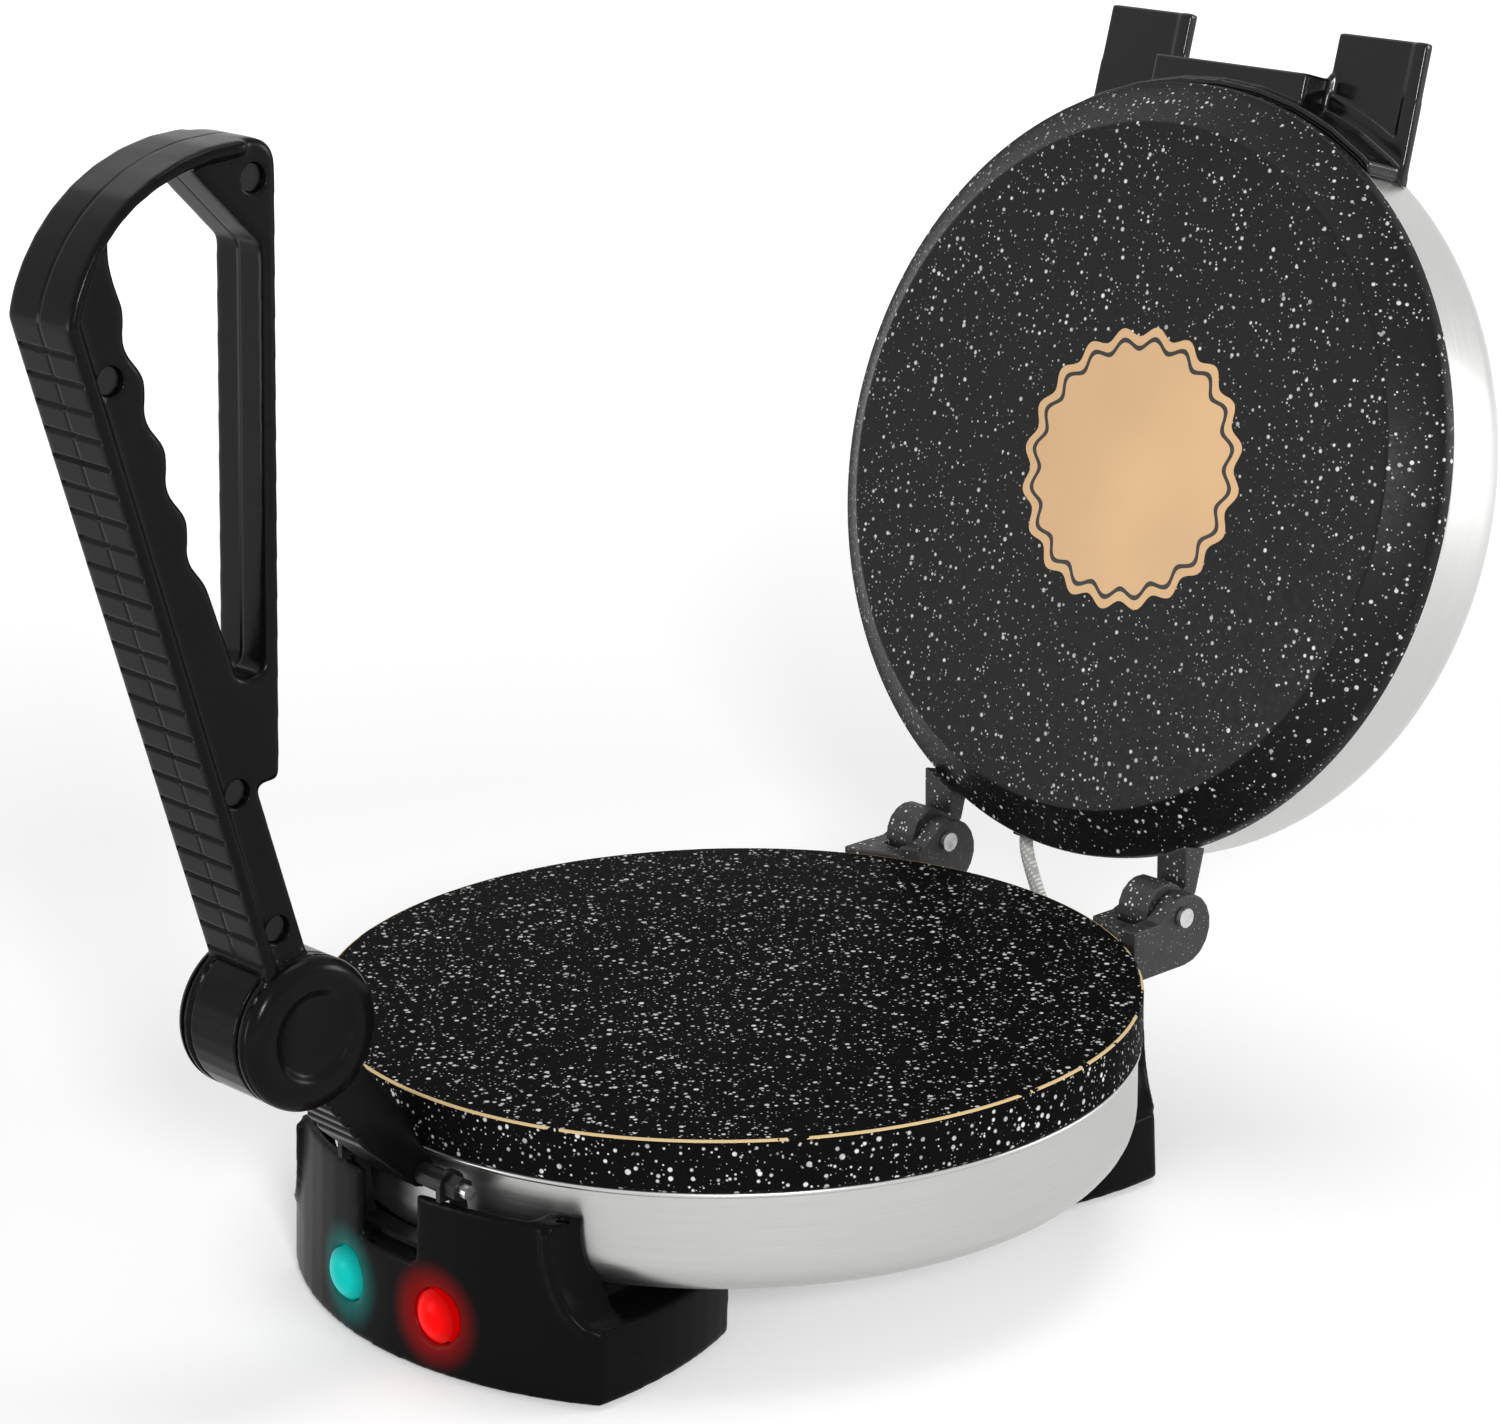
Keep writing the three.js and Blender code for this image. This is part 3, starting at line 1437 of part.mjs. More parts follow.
const capShape = [
  [0, barrel.capFace],
  [barrel.radius, barrel.capFace],
  ...arc(
    barrel.radius - barrel.capRounding,
    barrel.halfLength - barrel.capRounding,
    barrel.capRounding,
    0,
    90,
    4,
  ),
  [barrel.capRecessRadius + barrel.capRecess, barrel.halfLength],
  [barrel.capRecessRadius, barrel.halfLength - barrel.capRecess],
  [0, barrel.halfLength - barrel.capRecess],
];
const rightCap = turnedAlong(alongX, barrelCentre, capShape, barrelSteps);
addPiece(handleGroup, 'barrel_cap_right', 'plastic', rightCap);
addPiece(handleGroup, 'barrel_cap_left', 'plastic', mirrored(rightCap));

for (const [name, [y, z]] of Object.entries(screwPlaces)) {
  const place = at(0, lever.barrelY + y, lever.barrelZ + z);
  addPiece(handleGroup, `handle_screw_${name}`, 'blackSteel', turnedAlong(alongX, place, [
    [0, -screw.far],
    [screw.radius, -screw.far],
    [screw.radius, headSeat + gap],
    [screw.headRadius, headSeat + gap],
    [screw.headRadius, headFace],
    [0, headFace],
  ], pinSteps));
}

// The origin is the middle of the whole machine's footprint, on the counter
machine.updateMatrixWorld(true);
const extent = new THREE.Box3().setFromObject(machine, true);
const middle = extent.getCenter(new THREE.Vector3());
machine.position.set(-middle.x, -middle.y, -extent.min.z);
machine.updateMatrixWorld(true);

export default machine;
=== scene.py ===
# Electric roti maker: finished pieces and materials on the solids of the machine.
# Metres, +Z up, the front of the machine towards -Y. It stands open, as it is put on show.
import json
import math

import bpy
from mathutils import Euler, Matrix, Vector


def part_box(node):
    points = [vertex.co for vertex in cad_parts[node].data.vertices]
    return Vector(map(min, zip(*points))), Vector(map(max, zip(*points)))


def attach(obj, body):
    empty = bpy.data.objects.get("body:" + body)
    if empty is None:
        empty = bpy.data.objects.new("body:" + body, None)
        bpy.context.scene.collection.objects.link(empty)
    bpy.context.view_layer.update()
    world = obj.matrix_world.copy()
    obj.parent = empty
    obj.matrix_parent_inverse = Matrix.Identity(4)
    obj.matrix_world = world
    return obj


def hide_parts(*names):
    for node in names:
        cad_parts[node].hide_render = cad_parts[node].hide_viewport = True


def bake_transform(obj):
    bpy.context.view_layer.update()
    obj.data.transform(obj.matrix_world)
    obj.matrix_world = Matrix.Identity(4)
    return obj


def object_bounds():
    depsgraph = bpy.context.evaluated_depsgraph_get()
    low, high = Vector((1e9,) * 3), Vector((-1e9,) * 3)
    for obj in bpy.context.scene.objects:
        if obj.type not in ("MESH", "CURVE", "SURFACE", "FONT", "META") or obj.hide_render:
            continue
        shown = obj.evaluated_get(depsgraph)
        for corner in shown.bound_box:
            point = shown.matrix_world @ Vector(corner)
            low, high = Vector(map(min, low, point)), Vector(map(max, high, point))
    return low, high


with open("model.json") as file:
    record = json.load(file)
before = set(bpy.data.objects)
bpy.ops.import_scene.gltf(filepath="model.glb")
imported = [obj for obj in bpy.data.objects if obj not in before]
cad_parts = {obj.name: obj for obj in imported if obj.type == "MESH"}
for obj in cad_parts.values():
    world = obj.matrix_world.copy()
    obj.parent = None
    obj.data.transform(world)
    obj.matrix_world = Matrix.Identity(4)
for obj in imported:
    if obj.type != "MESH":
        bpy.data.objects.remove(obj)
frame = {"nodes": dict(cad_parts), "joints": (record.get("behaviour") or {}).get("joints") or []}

bl_info = {
    "name": "Roti Maker Finish",
    "version": (1, 0, 0),
    "blender": (4, 5, 0),
    "location": "3D View > Sidebar > Roti Maker",
    "description": "Gives the solids of an electric roti maker their finished pieces and materials",
    "category": "Object",
}

MM = 0.001
UP = Vector((0, 0, 1))
CAD_LOW, CAD_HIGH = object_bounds()


def joint_named(name):
    return next(joint for joint in frame["joints"] if joint["name"] == name)


# Places of the machine, from the solids
PLATE_LOW, PLATE_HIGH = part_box("lower_plate")
PLATE_RADIUS = (PLATE_HIGH.x - PLATE_LOW.x) / 2
PLATE_CENTRE = Vector((0, (PLATE_LOW.y + PLATE_HIGH.y) / 2, 0))
PLATE_TOP = PLATE_HIGH.z
HINGE = joint_named("lid_hinge")
HINGE_POINT = Vector(HINGE["pos_m"])
LID_OPEN = math.radians(HINGE["range_deg"][1])
OPEN_LID = (
    Matrix.Translation(HINGE_POINT)
    @ Matrix.Rotation(-LID_OPEN, 4, "X")
    @ Matrix.Translation(-HINGE_POINT)
)
BARREL_POINT = Vector(joint_named("handle_pivot")["pos_m"])

# Steps of round shapes
ROUND_STEPS = 160
SMALL_ROUND_STEPS = 48
CORNER_STEPS = 8
EDGE_STEPS = 5

# Joining, creases and skins
JOIN_REACH = 0.002 * MM
FLAT_ANGLE = math.radians(0.6)
TURNED_CREASE = math.radians(35)
MOULDED_CREASE = math.radians(60)
SOFTENING = 0.5
SMALL_SKIN = 0.4 * MM
PIPE_ROUNDNESS = 6
LEVER_PASSES = 3
HINGE_PASSES = 4
BRACKET_PASSES = 14
FOOT_PASSES = 16
KEPT_PASSES = 3

# Pressed steel bowls, the pan below and the shell above
GAP = 0.3 * MM
SHEET = 1.0 * MM
BOLT_HOLE = 3.3 * MM
BOWL_RADIUS = 108.7 * MM
LIP_RADIUS = 109.7 * MM
LIP_HEIGHT = 1.6 * MM
PAN_CORNER = 12.0 * MM
SHELL_CORNER = 13.0 * MM

# Cast plates
SKIRT_WIDTH = 5.5 * MM
LOWER_WEB = 7.0 * MM
UPPER_WEB = 7.3 * MM
BOSS_RADIUS = 8.0 * MM
BOSS_HEIGHT = 7.0 * MM
BOLT_DEPTH = 4.0 * MM
LID_HEIGHT = 12.8 * MM
DISC_RADIUS = 97.4 * MM
BEVEL_REACH = 10.1 * MM
BEVEL_RISE = 8.4 * MM
SHELL_DEPTH = 30.5 * MM
RIM_LINE = PLATE_TOP - 0.28 * MM
RIM_HALF_WIDTH = 0.28 * MM
RIM_REACH = 1.0 * MM
RIM_WORN_SHARE = 0.43
LID_FACE = PLATE_TOP + GAP
LID_RIM = LID_FACE + LID_HEIGHT

# Badge on the upper plate, as the shut lid has it
BADGE_CENTRE = PLATE_CENTRE + Vector((8.8 * MM, -0.8 * MM, 0))
BADGE_RADIUS = 38.6 * MM
BADGE_SCALLOP = 1.4 * MM
BADGE_LOBES = 20
BADGE_LOBE_STEPS = 12
BADGE_THICKNESS = 0.5 * MM
BADGE_PROUD = 0.12 * MM
BADGE_LINE_INSET = 3.4 * MM
BADGE_LINE_WIDTH = 1.45 * MM

# Lamps
LENS_RADIUS = 7.0 * MM
LENS_WALL = 1.4 * MM
LENS_DOME = 3.0 * MM
LENS_FLANGE = 1.5 * MM
LENS_POLE = 88
LENS_BRIGHT_SHARE = 0.6
LENS_RIM_SHARE = 1.1
# Glow of the lamps, painted as light given off by the moulding round each lens
GLOW_REACH = 9.0 * MM
GLOW_STRENGTH = 0.32
GLOW_START_SHARE = 0.9
GLOW_SHARE = 0.75

# Handle, from the centre of the barrel
SEAM_REACH = 0.4 * MM
BAND_START = BARREL_POINT + Vector((0, -10.5 * MM, 15.4 * MM))
BAND_LEAN = math.radians(15.5)
BAND_LENGTH = 172.0 * MM
BAND_HALF = 13.0 * MM
BAR_DEPTH = 2.0 * MM
GROOVE_FIRST = 4.0 * MM
GROOVE_PITCH = 7.0 * MM
GROOVE_COUNT = 24
GROOVE_HALF_WIDTH = 0.75 * MM
GROOVE_DEPTH = 1.0 * MM
GROOVE_END = 11.4 * MM
GROOVE_REACH = 0.5 * MM
HANDLE_PASSES = 80
BARREL_FACET = 0.4 * MM
BARREL_CLEAR = 1.0 * MM
WINDOW_CENTRE = Vector((0, -22.0 * MM, 185.0 * MM))
BEND_TILT = 0.25
EDGE_KEPT = 2.5 * MM
BEND_PASSES = 60
SEAM_NEAR = 0.22 * MM
SEAM_DEPTH = 0.14 * MM
SCREW_KEPT = 4.6 * MM

# Ridges down the shoulder of a foot, from the centre of the plate
FACE_RADIUS = 112.0 * MM
FACE_CENTRE_Y = -9.0 * MM
SHOULDER_OUT = 62.0 * MM
SHOULDER_UP = 46.0 * MM
SHOULDER_INSET = 11.5 * MM
SHOULDER_DROP = 25.0 * MM
SHOULDER_STEPS = 12
SHOULDER_TURN = math.radians(76)
RIDGE_RADIUS = 1.5 * MM
RIDGE_SPACING = 11.0 * MM
RIDGE_SINK = 1.0 * MM
EAR_X = 48.6 * MM
EAR_Y = 101.4 * MM
EAR_DROP = 8.8 * MM
EAR_KEPT = 5.5 * MM

# Panel in each lifting tab, as the shut lid has it
TAB_INNER = 27.0 * MM
TAB_OUTER = 58.6 * MM
RIM = 4.5 * MM
PANEL_INNER = 29.0 * MM
PANEL_OUTER = TAB_OUTER - RIM
PANEL_STEP = 119.0 * MM
PANEL_RADIUS = 117.0 * MM
PANEL_END = 140.0 * MM
PANEL_BOTTOM = 90.0 * MM
PANEL_TOP = 99.9 * MM
PANEL_STEPS = 8
CUT_REACH = 1.0 * MM

# Barrel caps
BARREL_RADIUS = 19.5 * MM
CAP_FACE = 12.7 * MM
CAP_END = 15.9 * MM
CAP_SHOULDER = 5.0 * MM
CAP_DISH = 12.2 * MM
CAP_RECESS = 1.4 * MM
# Slope of the dish: halves of the recess inwards, and sixths of it down
CAP_SLOPE = ((0, 0), (1, 1), (2, 3), (3, 5), (4, 6))

# Route of the heater lead in millimetres from the plates' axis: out of the pan, round behind the
# hinge, and into the lid where it lies when shut
LEAD_RADIUS = 2.0 * MM
LEAD_STEPS = 10
LEAD_LOW_ROUTE = (
    (7, 104.7, 46),
    (7, 112.6, 46),
    (6, 119, 47.5),
    (-3, 127, 53.5),
    (-13, 132, 61),
)
LEAD_LID_ROUTE = (
    (-19, 112.6, 90.6),
    (-19, 104.7, 90.6),
)

# Camera that fits the photograph
CAMERA_PLACE = (797.44 * MM, -730.43 * MM, 477.35 * MM)
CAMERA_HEADING = math.radians(47.36)
CAMERA_DROP = math.radians(17.11)
CAMERA_ROLL = math.radians(-0.69)
CAMERA_LENS = 103.19
CAMERA_SENSOR = 36.0
CAMERA_NEAR = 10 * MM
CAMERA_FAR = 50.0

# Sizes of the patterns in the finishes, and the depth and strength of their bumps
COATING_CLOUD = 14 * MM
COATING_WEAR = 5 * MM
COATING_GLOSS = 2 * MM
COATING_GRAIN = 0.9 * MM
COATING_BUMPS = (0.06 * MM, 0.6)
FINE_SPACING_SHARE = 0.57
FINE_FLECK_SHARE = 0.78
FLECK_SOFTNESS = 0.05
RIM_WEAR = 16 * MM
MOULD_CLOUD = 30 * MM
MOULD_GLOSS = 20 * MM
MOULD_BUMPS = (0.01 * MM, 0.2)
GLOSS_WAVE = 6 * MM
SATIN_WAVE = 1.5 * MM
BRUSH_LINE = 0.5 * MM
BRUSH_CLOUD = 40 * MM
BRUSH_BUMPS = (0.008 * MM, 0.35)
CASTING_CLOUD = 4 * MM
CASTING_FLECK = 1.2 * MM
CASTING_GLOSS = 2 * MM
CASTING_GRAIN = 0.8 * MM
CASTING_BUMPS = (0.12 * MM, 0.7)
GOLD_CLOUD = 45 * MM
GOLD_GLOSS = 3 * MM
LENS_FACET = 1.2 * MM
LENS_FACET_BUMPS = (0.05 * MM, 0.4)
BRAID_UNIT = 4 * MM
BRAID_BUMPS = (0.2 * MM, 0.8)
BRAID_ANGLE = math.radians(45)
GLASS_WAVE = 2 * MM
GLASS_BUMPS = (0.02 * MM, 0.3)
FINE_SMALLNESS = 1.5
CASTING_FLECK_SHARE = 0.36
CASTING_SMALLNESS = 2.0
EVEN = (1.0, 1.0, 1.0)
BRUSHED = (0.02, 0.02, 1.0)
FIBROUS = (1.0, 0.15, 1.0)

# Noise: how much fine detail it holds, its roughness, and the part of its range that is used
FLAT_DETAIL = 1.0
SOFT_DETAIL = 2.0
USUAL_DETAIL = 3.0
FINE_DETAIL = 4.0
NOISE_ROUGHNESS = 0.55
NOISE_LOW = 0.3
NOISE_HIGH = 0.7

# Roughness, metal and gloss of the finishes
COATING_ROUGHNESS = (0.36, 0.5)
COATING_STRENGTH = (0.35, 1.0)
PHENOLIC_IOR = 1.5
LINE_ROUGHNESS = (0.0, 0.06)
SHEET_ROUGHNESS = (0.27, 0.33)
CASTING_ROUGHNESS = (0.4, 0.65)
CASTING_METAL = 0.25
GOLD_ROUGHNESS = (0.36, 0.46)
GOLD_METAL = 0.15
LENS_ROUGHNESS = 0.3
LENS_GLOSS = 0.05
LENS_STRENGTH = 0.95
BRAID_ROUGHNESS = (0.6, 0.85)
GLASS_ROUGHNESS = 0.05
GLASS_IOR = 1.5
PLAIN_STRENGTH = 0.6

# Shares of a colour in the two tones of its pattern
COATING_SHARES = (0.7, 1.35)
PLASTIC_SHARES = (0.7, 1.5)
STEEL_SHARES = (0.9, 1.04)
GOLD_SHARES = (0.82, 1.2)
LENS_SHARES = (1.0, 1.3)
LENS_EDGE_SHARE = 0.55
UNLIT_SHARES = (0.1, 0.03)


def linear_colour(hex_code):
    """An sRGB hex colour as Blender's linear red, green, blue and alpha."""
    digits = hex_code.lstrip("#")
    shares = [int(digits[i:i + 2], 16) / 255 for i in (0, 2, 4)]
    linear = [s / 12.92 if s <= 0.04045 else ((s + 0.055) / 1.055) ** 2.4 for s in shares]
    return (*linear, 1.0)


class RotiMakerSizes(bpy.types.PropertyGroup):
    """Sizes of the finish that a user would change."""

    plate_edge: bpy.props.FloatProperty(
        name="Plate Edge", description="Rounding of the edges of the two cast plates",
        default=0.7 * MM, min=0.0, unit="LENGTH", subtype="DISTANCE", precision=5)
    disc_crease: bpy.props.FloatProperty(
        name="Disc Crease", description="Rounding of the crease round the disc of the upper plate",
        default=2.2 * MM, min=0.0, unit="LENGTH", subtype="DISTANCE", precision=5)
    handle_voxel: bpy.props.FloatProperty(
        name="Handle Skin", description="Fineness of the skin over the handle",
        default=0.435 * MM, min=0.2 * MM, unit="LENGTH", subtype="DISTANCE", precision=5)
    foot_voxel: bpy.props.FloatProperty(
        name="Foot Skin", description="Fineness of the skin over the feet",
        default=0.8 * MM, min=0.2 * MM, unit="LENGTH", subtype="DISTANCE", precision=5)
    bracket_voxel: bpy.props.FloatProperty(
        name="Bracket Skin", description="Fineness of the skin over the lid bracket",
        default=0.5 * MM, min=0.2 * MM, unit="LENGTH", subtype="DISTANCE", precision=5)
    lower_speckle: bpy.props.FloatProperty(
        name="Lower Speckle", description="Spacing of the speckles on the lower plate",
        default=2.2 * MM, min=0.1 * MM, unit="LENGTH", subtype="DISTANCE", precision=5)
    upper_speckle: bpy.props.FloatProperty(
        name="Upper Speckle", description="Spacing of the speckles on the upper plate",
        default=2.3 * MM, min=0.1 * MM, unit="LENGTH", subtype="DISTANCE", precision=5)


class RotiMakerColours(bpy.types.PropertyGroup):
    """Colours of the finish that a user would change."""

    coating: bpy.props.FloatVectorProperty(
        name="Coating", description="Ground of the speckled non-stick coating",
        default=linear_colour("#101011"), size=4, min=0.0, max=1.0, subtype="COLOR")
    speckle: bpy.props.FloatVectorProperty(
        name="Speckle", description="Light flecks in the coating",
        default=linear_colour("#e9e9e5"), size=4, min=0.0, max=1.0, subtype="COLOR")
    plastic: bpy.props.FloatVectorProperty(
        name="Plastic", description="Black moulded handle, feet and bracket",
        default=linear_colour("#0b0b0c"), size=4, min=0.0, max=1.0, subtype="COLOR")
    steel: bpy.props.FloatVectorProperty(
        name="Steel", description="Satin stainless steel of the pan and the shell",
        default=linear_colour("#d8d8d6"), size=4, min=0.0, max=1.0, subtype="COLOR")
    gold: bpy.props.FloatVectorProperty(
        name="Gold", description="Lacquered badge on the upper plate",
        default=linear_colour("#cfa87b"), size=4, min=0.0, max=1.0, subtype="COLOR")
    green_lamp: bpy.props.FloatVectorProperty(
        name="Green Lamp", description="Lens of the lamp on the left",
        default=linear_colour("#08b5ad"), size=4, min=0.0, max=1.0, subtype="COLOR")
    red_lamp: bpy.props.FloatVectorProperty(
        name="Red Lamp", description="Lens of the lamp on the right",
        default=linear_colour("#f80404"), size=4, min=0.0, max=1.0, subtype="COLOR")


def sizes():
    return bpy.context.scene.roti_maker_sizes


def colours():
    return bpy.context.scene.roti_maker_colours


# Materials
def add_node(material, kind, settings=None, links=None):
    """Adds one node to a material, with its settings and its incoming links."""
    node = material.node_tree.nodes.new(kind)
    for name, value in (settings or {}).items():
        if isinstance(name, int) or name in node.inputs:
            node.inputs[name].default_value = value
        else:
            setattr(node, name, value)
    for name, socket in (links or {}).items():
        material.node_tree.links.new(socket, node.inputs[name])
    return node


def new_material(name):
    """An empty node material with its shader and output, and the Object coordinates."""
    material = bpy.data.materials.new(name)
    material.use_nodes = True
    material.node_tree.nodes.clear()
    shader = add_node(material, "ShaderNodeBsdfPrincipled")
    add_node(material, "ShaderNodeOutputMaterial", links={"Surface": shader.outputs["BSDF"]})
    place = add_node(material, "ShaderNodeTexCoord").outputs["Object"]
    return material, shader, place


def link(material, socket, shader, name):
    material.node_tree.links.new(socket, shader.inputs[name])


def band(material, value, low, high, from_low=NOISE_LOW, from_high=NOISE_HIGH):
    """A noise value spread over a range of roughness or shade."""
    return add_node(
        material, "ShaderNodeMapRange",
        {"From Min": from_low, "From Max": from_high, "To Min": low, "To Max": high},
        {"Value": value},
    ).outputs["Result"]


def noise(material, place, size, detail=USUAL_DETAIL, stretch=EVEN):
    """Noise whose features are about one size across, in metres, stretched along the axes."""
    spread = add_node(
        material, "ShaderNodeMapping",
        {"Scale": tuple(share / size for share in stretch)}, {"Vector": place})
    return add_node(
        material, "ShaderNodeTexNoise",
        {"Scale": 1.0, "Detail": detail, "Roughness": NOISE_ROUGHNESS},
        {"Vector": spread.outputs["Vector"]},
    ).outputs["Fac"]


def mix_colours(material, share, low, high):
    """A colour between two colours or colour sockets, by a share."""
    node = add_node(material, "ShaderNodeMix", {"data_type": "RGBA"}, {0: share})
    for index, colour in ((6, low), (7, high)):
        if isinstance(colour, bpy.types.NodeSocket):
            material.node_tree.links.new(colour, node.inputs[index])
        else:
            node.inputs[index].default_value = tuple(colour)
    return node.outputs[2]


def shade(colour, factor):
    return (*(min(1.0, channel * factor) for channel in tuple(colour)[:3]), 1.0)


def two_tones(material, share, colour, shares):
    """A colour between two shares of itself."""
    return mix_colours(material, share, shade(colour, shares[0]), shade(colour, shares[1]))


def raise_bumps(material, shader, height, distance, strength):
    bump = add_node(
        material, "ShaderNodeBump",
        {"Distance": distance, "Strength": strength}, {"Height": height})
    link(material, bump.outputs["Normal"], shader, "Normal")


def arithmetic(material, operation, *values):
    """One Math node on numbers and sockets."""
    node = add_node(material, "ShaderNodeMath", {"operation": operation})
    for index, value in enumerate(values):
        if isinstance(value, bpy.types.NodeSocket):
            material.node_tree.links.new(value, node.inputs[index])
        else:
            node.inputs[index].default_value = value
    return node.outputs[0]


def distance_from(material, place, centre):
    """How far each place lies from one centre."""
    near = add_node(
        material, "ShaderNodeMapping", {"Location": tuple(-centre)}, {"Vector": place})
    return add_node(
        material, "ShaderNodeVectorMath", {"operation": "LENGTH"}, {0: near.outputs["Vector"]},
    ).outputs["Value"]


def flat_radius(material, parts):
    """How far each place lies from the upright axis."""
    across = arithmetic(material, "MULTIPLY", parts.outputs["X"], parts.outputs["X"])
    along = arithmetic(material, "MULTIPLY", parts.outputs["Y"], parts.outputs["Y"])
    return arithmetic(material, "SQRT", arithmetic(material, "ADD", across, along))


def shut_place(material, place, centre):
    """Places on the open lid, turned back to where they lie when it is shut, from a centre."""
    back = HINGE_POINT - Matrix.Rotation(LID_OPEN, 3, "X") @ HINGE_POINT - centre
    return add_node(
        material, "ShaderNodeMapping",
        {"Rotation": (LID_OPEN, 0.0, 0.0), "Location": tuple(back)}, {"Vector": place},
    ).outputs["Vector"]


def speckles(material, place, spacing, largest_share, smallness):
    """Flecks of many sizes: one in each cell of a lattice, cut where it lies near the surface.
    The largest is a share of the spacing, and smallness says how much rarer the large ones are."""
    cells = add_node(
        material, "ShaderNodeTexVoronoi",
        {"Scale": 1.0 / spacing, "Randomness": 1.0}, {"Vector": place})
    lot = add_node(
        material, "ShaderNodeSeparateColor", links={"Color": cells.outputs["Color"]})
    size = arithmetic(material, "POWER", lot.outputs[0], smallness)
    reach = arithmetic(material, "MULTIPLY", size, largest_share)
    inside = arithmetic(material, "SUBTRACT", reach, cells.outputs["Distance"])
    return band(material, inside, 0.0, 1.0, -FLECK_SOFTNESS, FLECK_SOFTNESS)


def granite_coating(name, spacing, largest_share, smallness, sheen, bright_rim=False):
    """Sprayed PTFE coating on a casting: matt black ground, white mineral flecks lying in it."""
    material, shader, place = new_material(name)
    ground = two_tones(
        material, noise(material, place, COATING_CLOUD), colours().coating, COATING_SHARES)
    coarse = speckles(material, place, spacing, largest_share, smallness)
    fine = speckles(
        material, place, spacing * FINE_SPACING_SHARE, largest_share * FINE_FLECK_SHARE,
        FINE_SMALLNESS)
    flecks = arithmetic(material, "MAXIMUM", coarse, fine)
    strength = band(material, noise(material, place, COATING_WEAR), *COATING_STRENGTH)
    shown = arithmetic(material, "MULTIPLY", flecks, strength)
    colour = mix_colours(material, shown, ground, colours().speckle)
    if bright_rim:
        colour = mix_colours(
            material, machined_rim(material, place), colour, linear_colour("#cfb587"))
    link(material, colour, shader, "Base Color")
    gloss = band(material, noise(material, place, COATING_GLOSS), *COATING_ROUGHNESS)
    link(material, gloss, shader, "Roughness")
    grain = noise(material, place, COATING_GRAIN, FINE_DETAIL)
    raise_bumps(material, shader, grain, *COATING_BUMPS)
    shader.inputs["IOR"].default_value = sheen
    return material


def machined_rim(material, place):
    """Where the casting was turned bright round the edge of its top face, worn in places."""
    centred = add_node(
        material, "ShaderNodeMapping", {"Location": tuple(-PLATE_CENTRE)}, {"Vector": place})
    parts = add_node(
        material, "ShaderNodeSeparateXYZ", links={"Vector": centred.outputs["Vector"]})
    near = arithmetic(
        material, "GREATER_THAN", flat_radius(material, parts), PLATE_RADIUS - RIM_REACH)
    off_line = arithmetic(
        material, "ABSOLUTE", arithmetic(material, "SUBTRACT", parts.outputs["Z"], RIM_LINE))
    high = arithmetic(material, "LESS_THAN", off_line, RIM_HALF_WIDTH)
    wear = noise(material, place, RIM_WEAR, FINE_DETAIL)
    kept = arithmetic(material, "GREATER_THAN", wear, RIM_WORN_SHARE)
    return arithmetic(material, "MULTIPLY", arithmetic(material, "MULTIPLY", near, high), kept)


def moulded_phenolic(name, roughness_low, roughness_high, wave, level, lit=False):
    """Pressed phenolic: deep black with a soft sheen, and the faint waviness of its mould."""
    material, shader, place = new_material(name)
    tone = noise(material, place, MOULD_CLOUD)
    colour = two_tones(material, tone, colours().plastic, PLASTIC_SHARES)
    link(material, colour, shader, "Base Color")
    cloud = noise(material, place, MOULD_GLOSS, SOFT_DETAIL)
    link(material, band(material, cloud, roughness_low, roughness_high), shader, "Roughness")
    raise_bumps(material, shader, noise(material, place, wave, SOFT_DETAIL), *MOULD_BUMPS)
    shader.inputs["IOR"].default_value = PHENOLIC_IOR
    shader.inputs["Specular IOR Level"].default_value = level
    # The lamps' glow is painted in as light given off by the moulding
    if lit:
        painted_lamp_glow(material, shader, place)
    return material


def painted_lamp_glow(material, shader, place):
    """A painted glow of the lamps' light in the moulding round them, weaker away from each lens."""
    glow = linear_colour("#000000")
    for colour, tone in (("green", colours().green_lamp), ("red", colours().red_lamp)):
        share = add_node(
            material, "ShaderNodeMapRange",
            {"interpolation_type": "SMOOTHSTEP", "From Min": LENS_RADIUS * GLOW_START_SHARE,
             "From Max": LENS_RADIUS + GLOW_REACH, "To Min": GLOW_SHARE, "To Max": 0.0},
            {"Value": distance_from(material, place, lens_centre(colour))}).outputs["Result"]
        glow = mix_colours(material, share, glow, tone)
    link(material, glow, shader, "Emission Color")
    shader.inputs["Emission Strength"].default_value = GLOW_STRENGTH


def satin_steel(name, tone, turned_back):
    """Stainless sheet brushed round the bowl: pale, with fine lines along its turn. Its tone paints
    the whole sheet darker or lighter as painted shade and light, so the pan and the shell are shaded
    and lit copies of one steel.
    """
    material, shader, place = new_material(name)
    if turned_back:
        place = shut_place(material, place, Vector())
    # Real brush lines are about 0.05 mm apart, too fine to show, so these are drawn coarser
    lines = noise(material, place, BRUSH_LINE, SOFT_DETAIL, BRUSHED)
    cloud = noise(material, place, BRUSH_CLOUD)
    # The tone is painted shade or light over the whole sheet
    shares = [share * tone for share in STEEL_SHARES]
    colour = two_tones(material, lines, colours().steel, shares)
    link(material, colour, shader, "Base Color")
    shader.inputs["Metallic"].default_value = 1.0
    roughness = arithmetic(
        material, "ADD", band(material, lines, *LINE_ROUGHNESS),
        band(material, cloud, *SHEET_ROUGHNESS))
    link(material, roughness, shader, "Roughness")
    raise_bumps(material, shader, lines, *BRUSH_BUMPS)
    return material


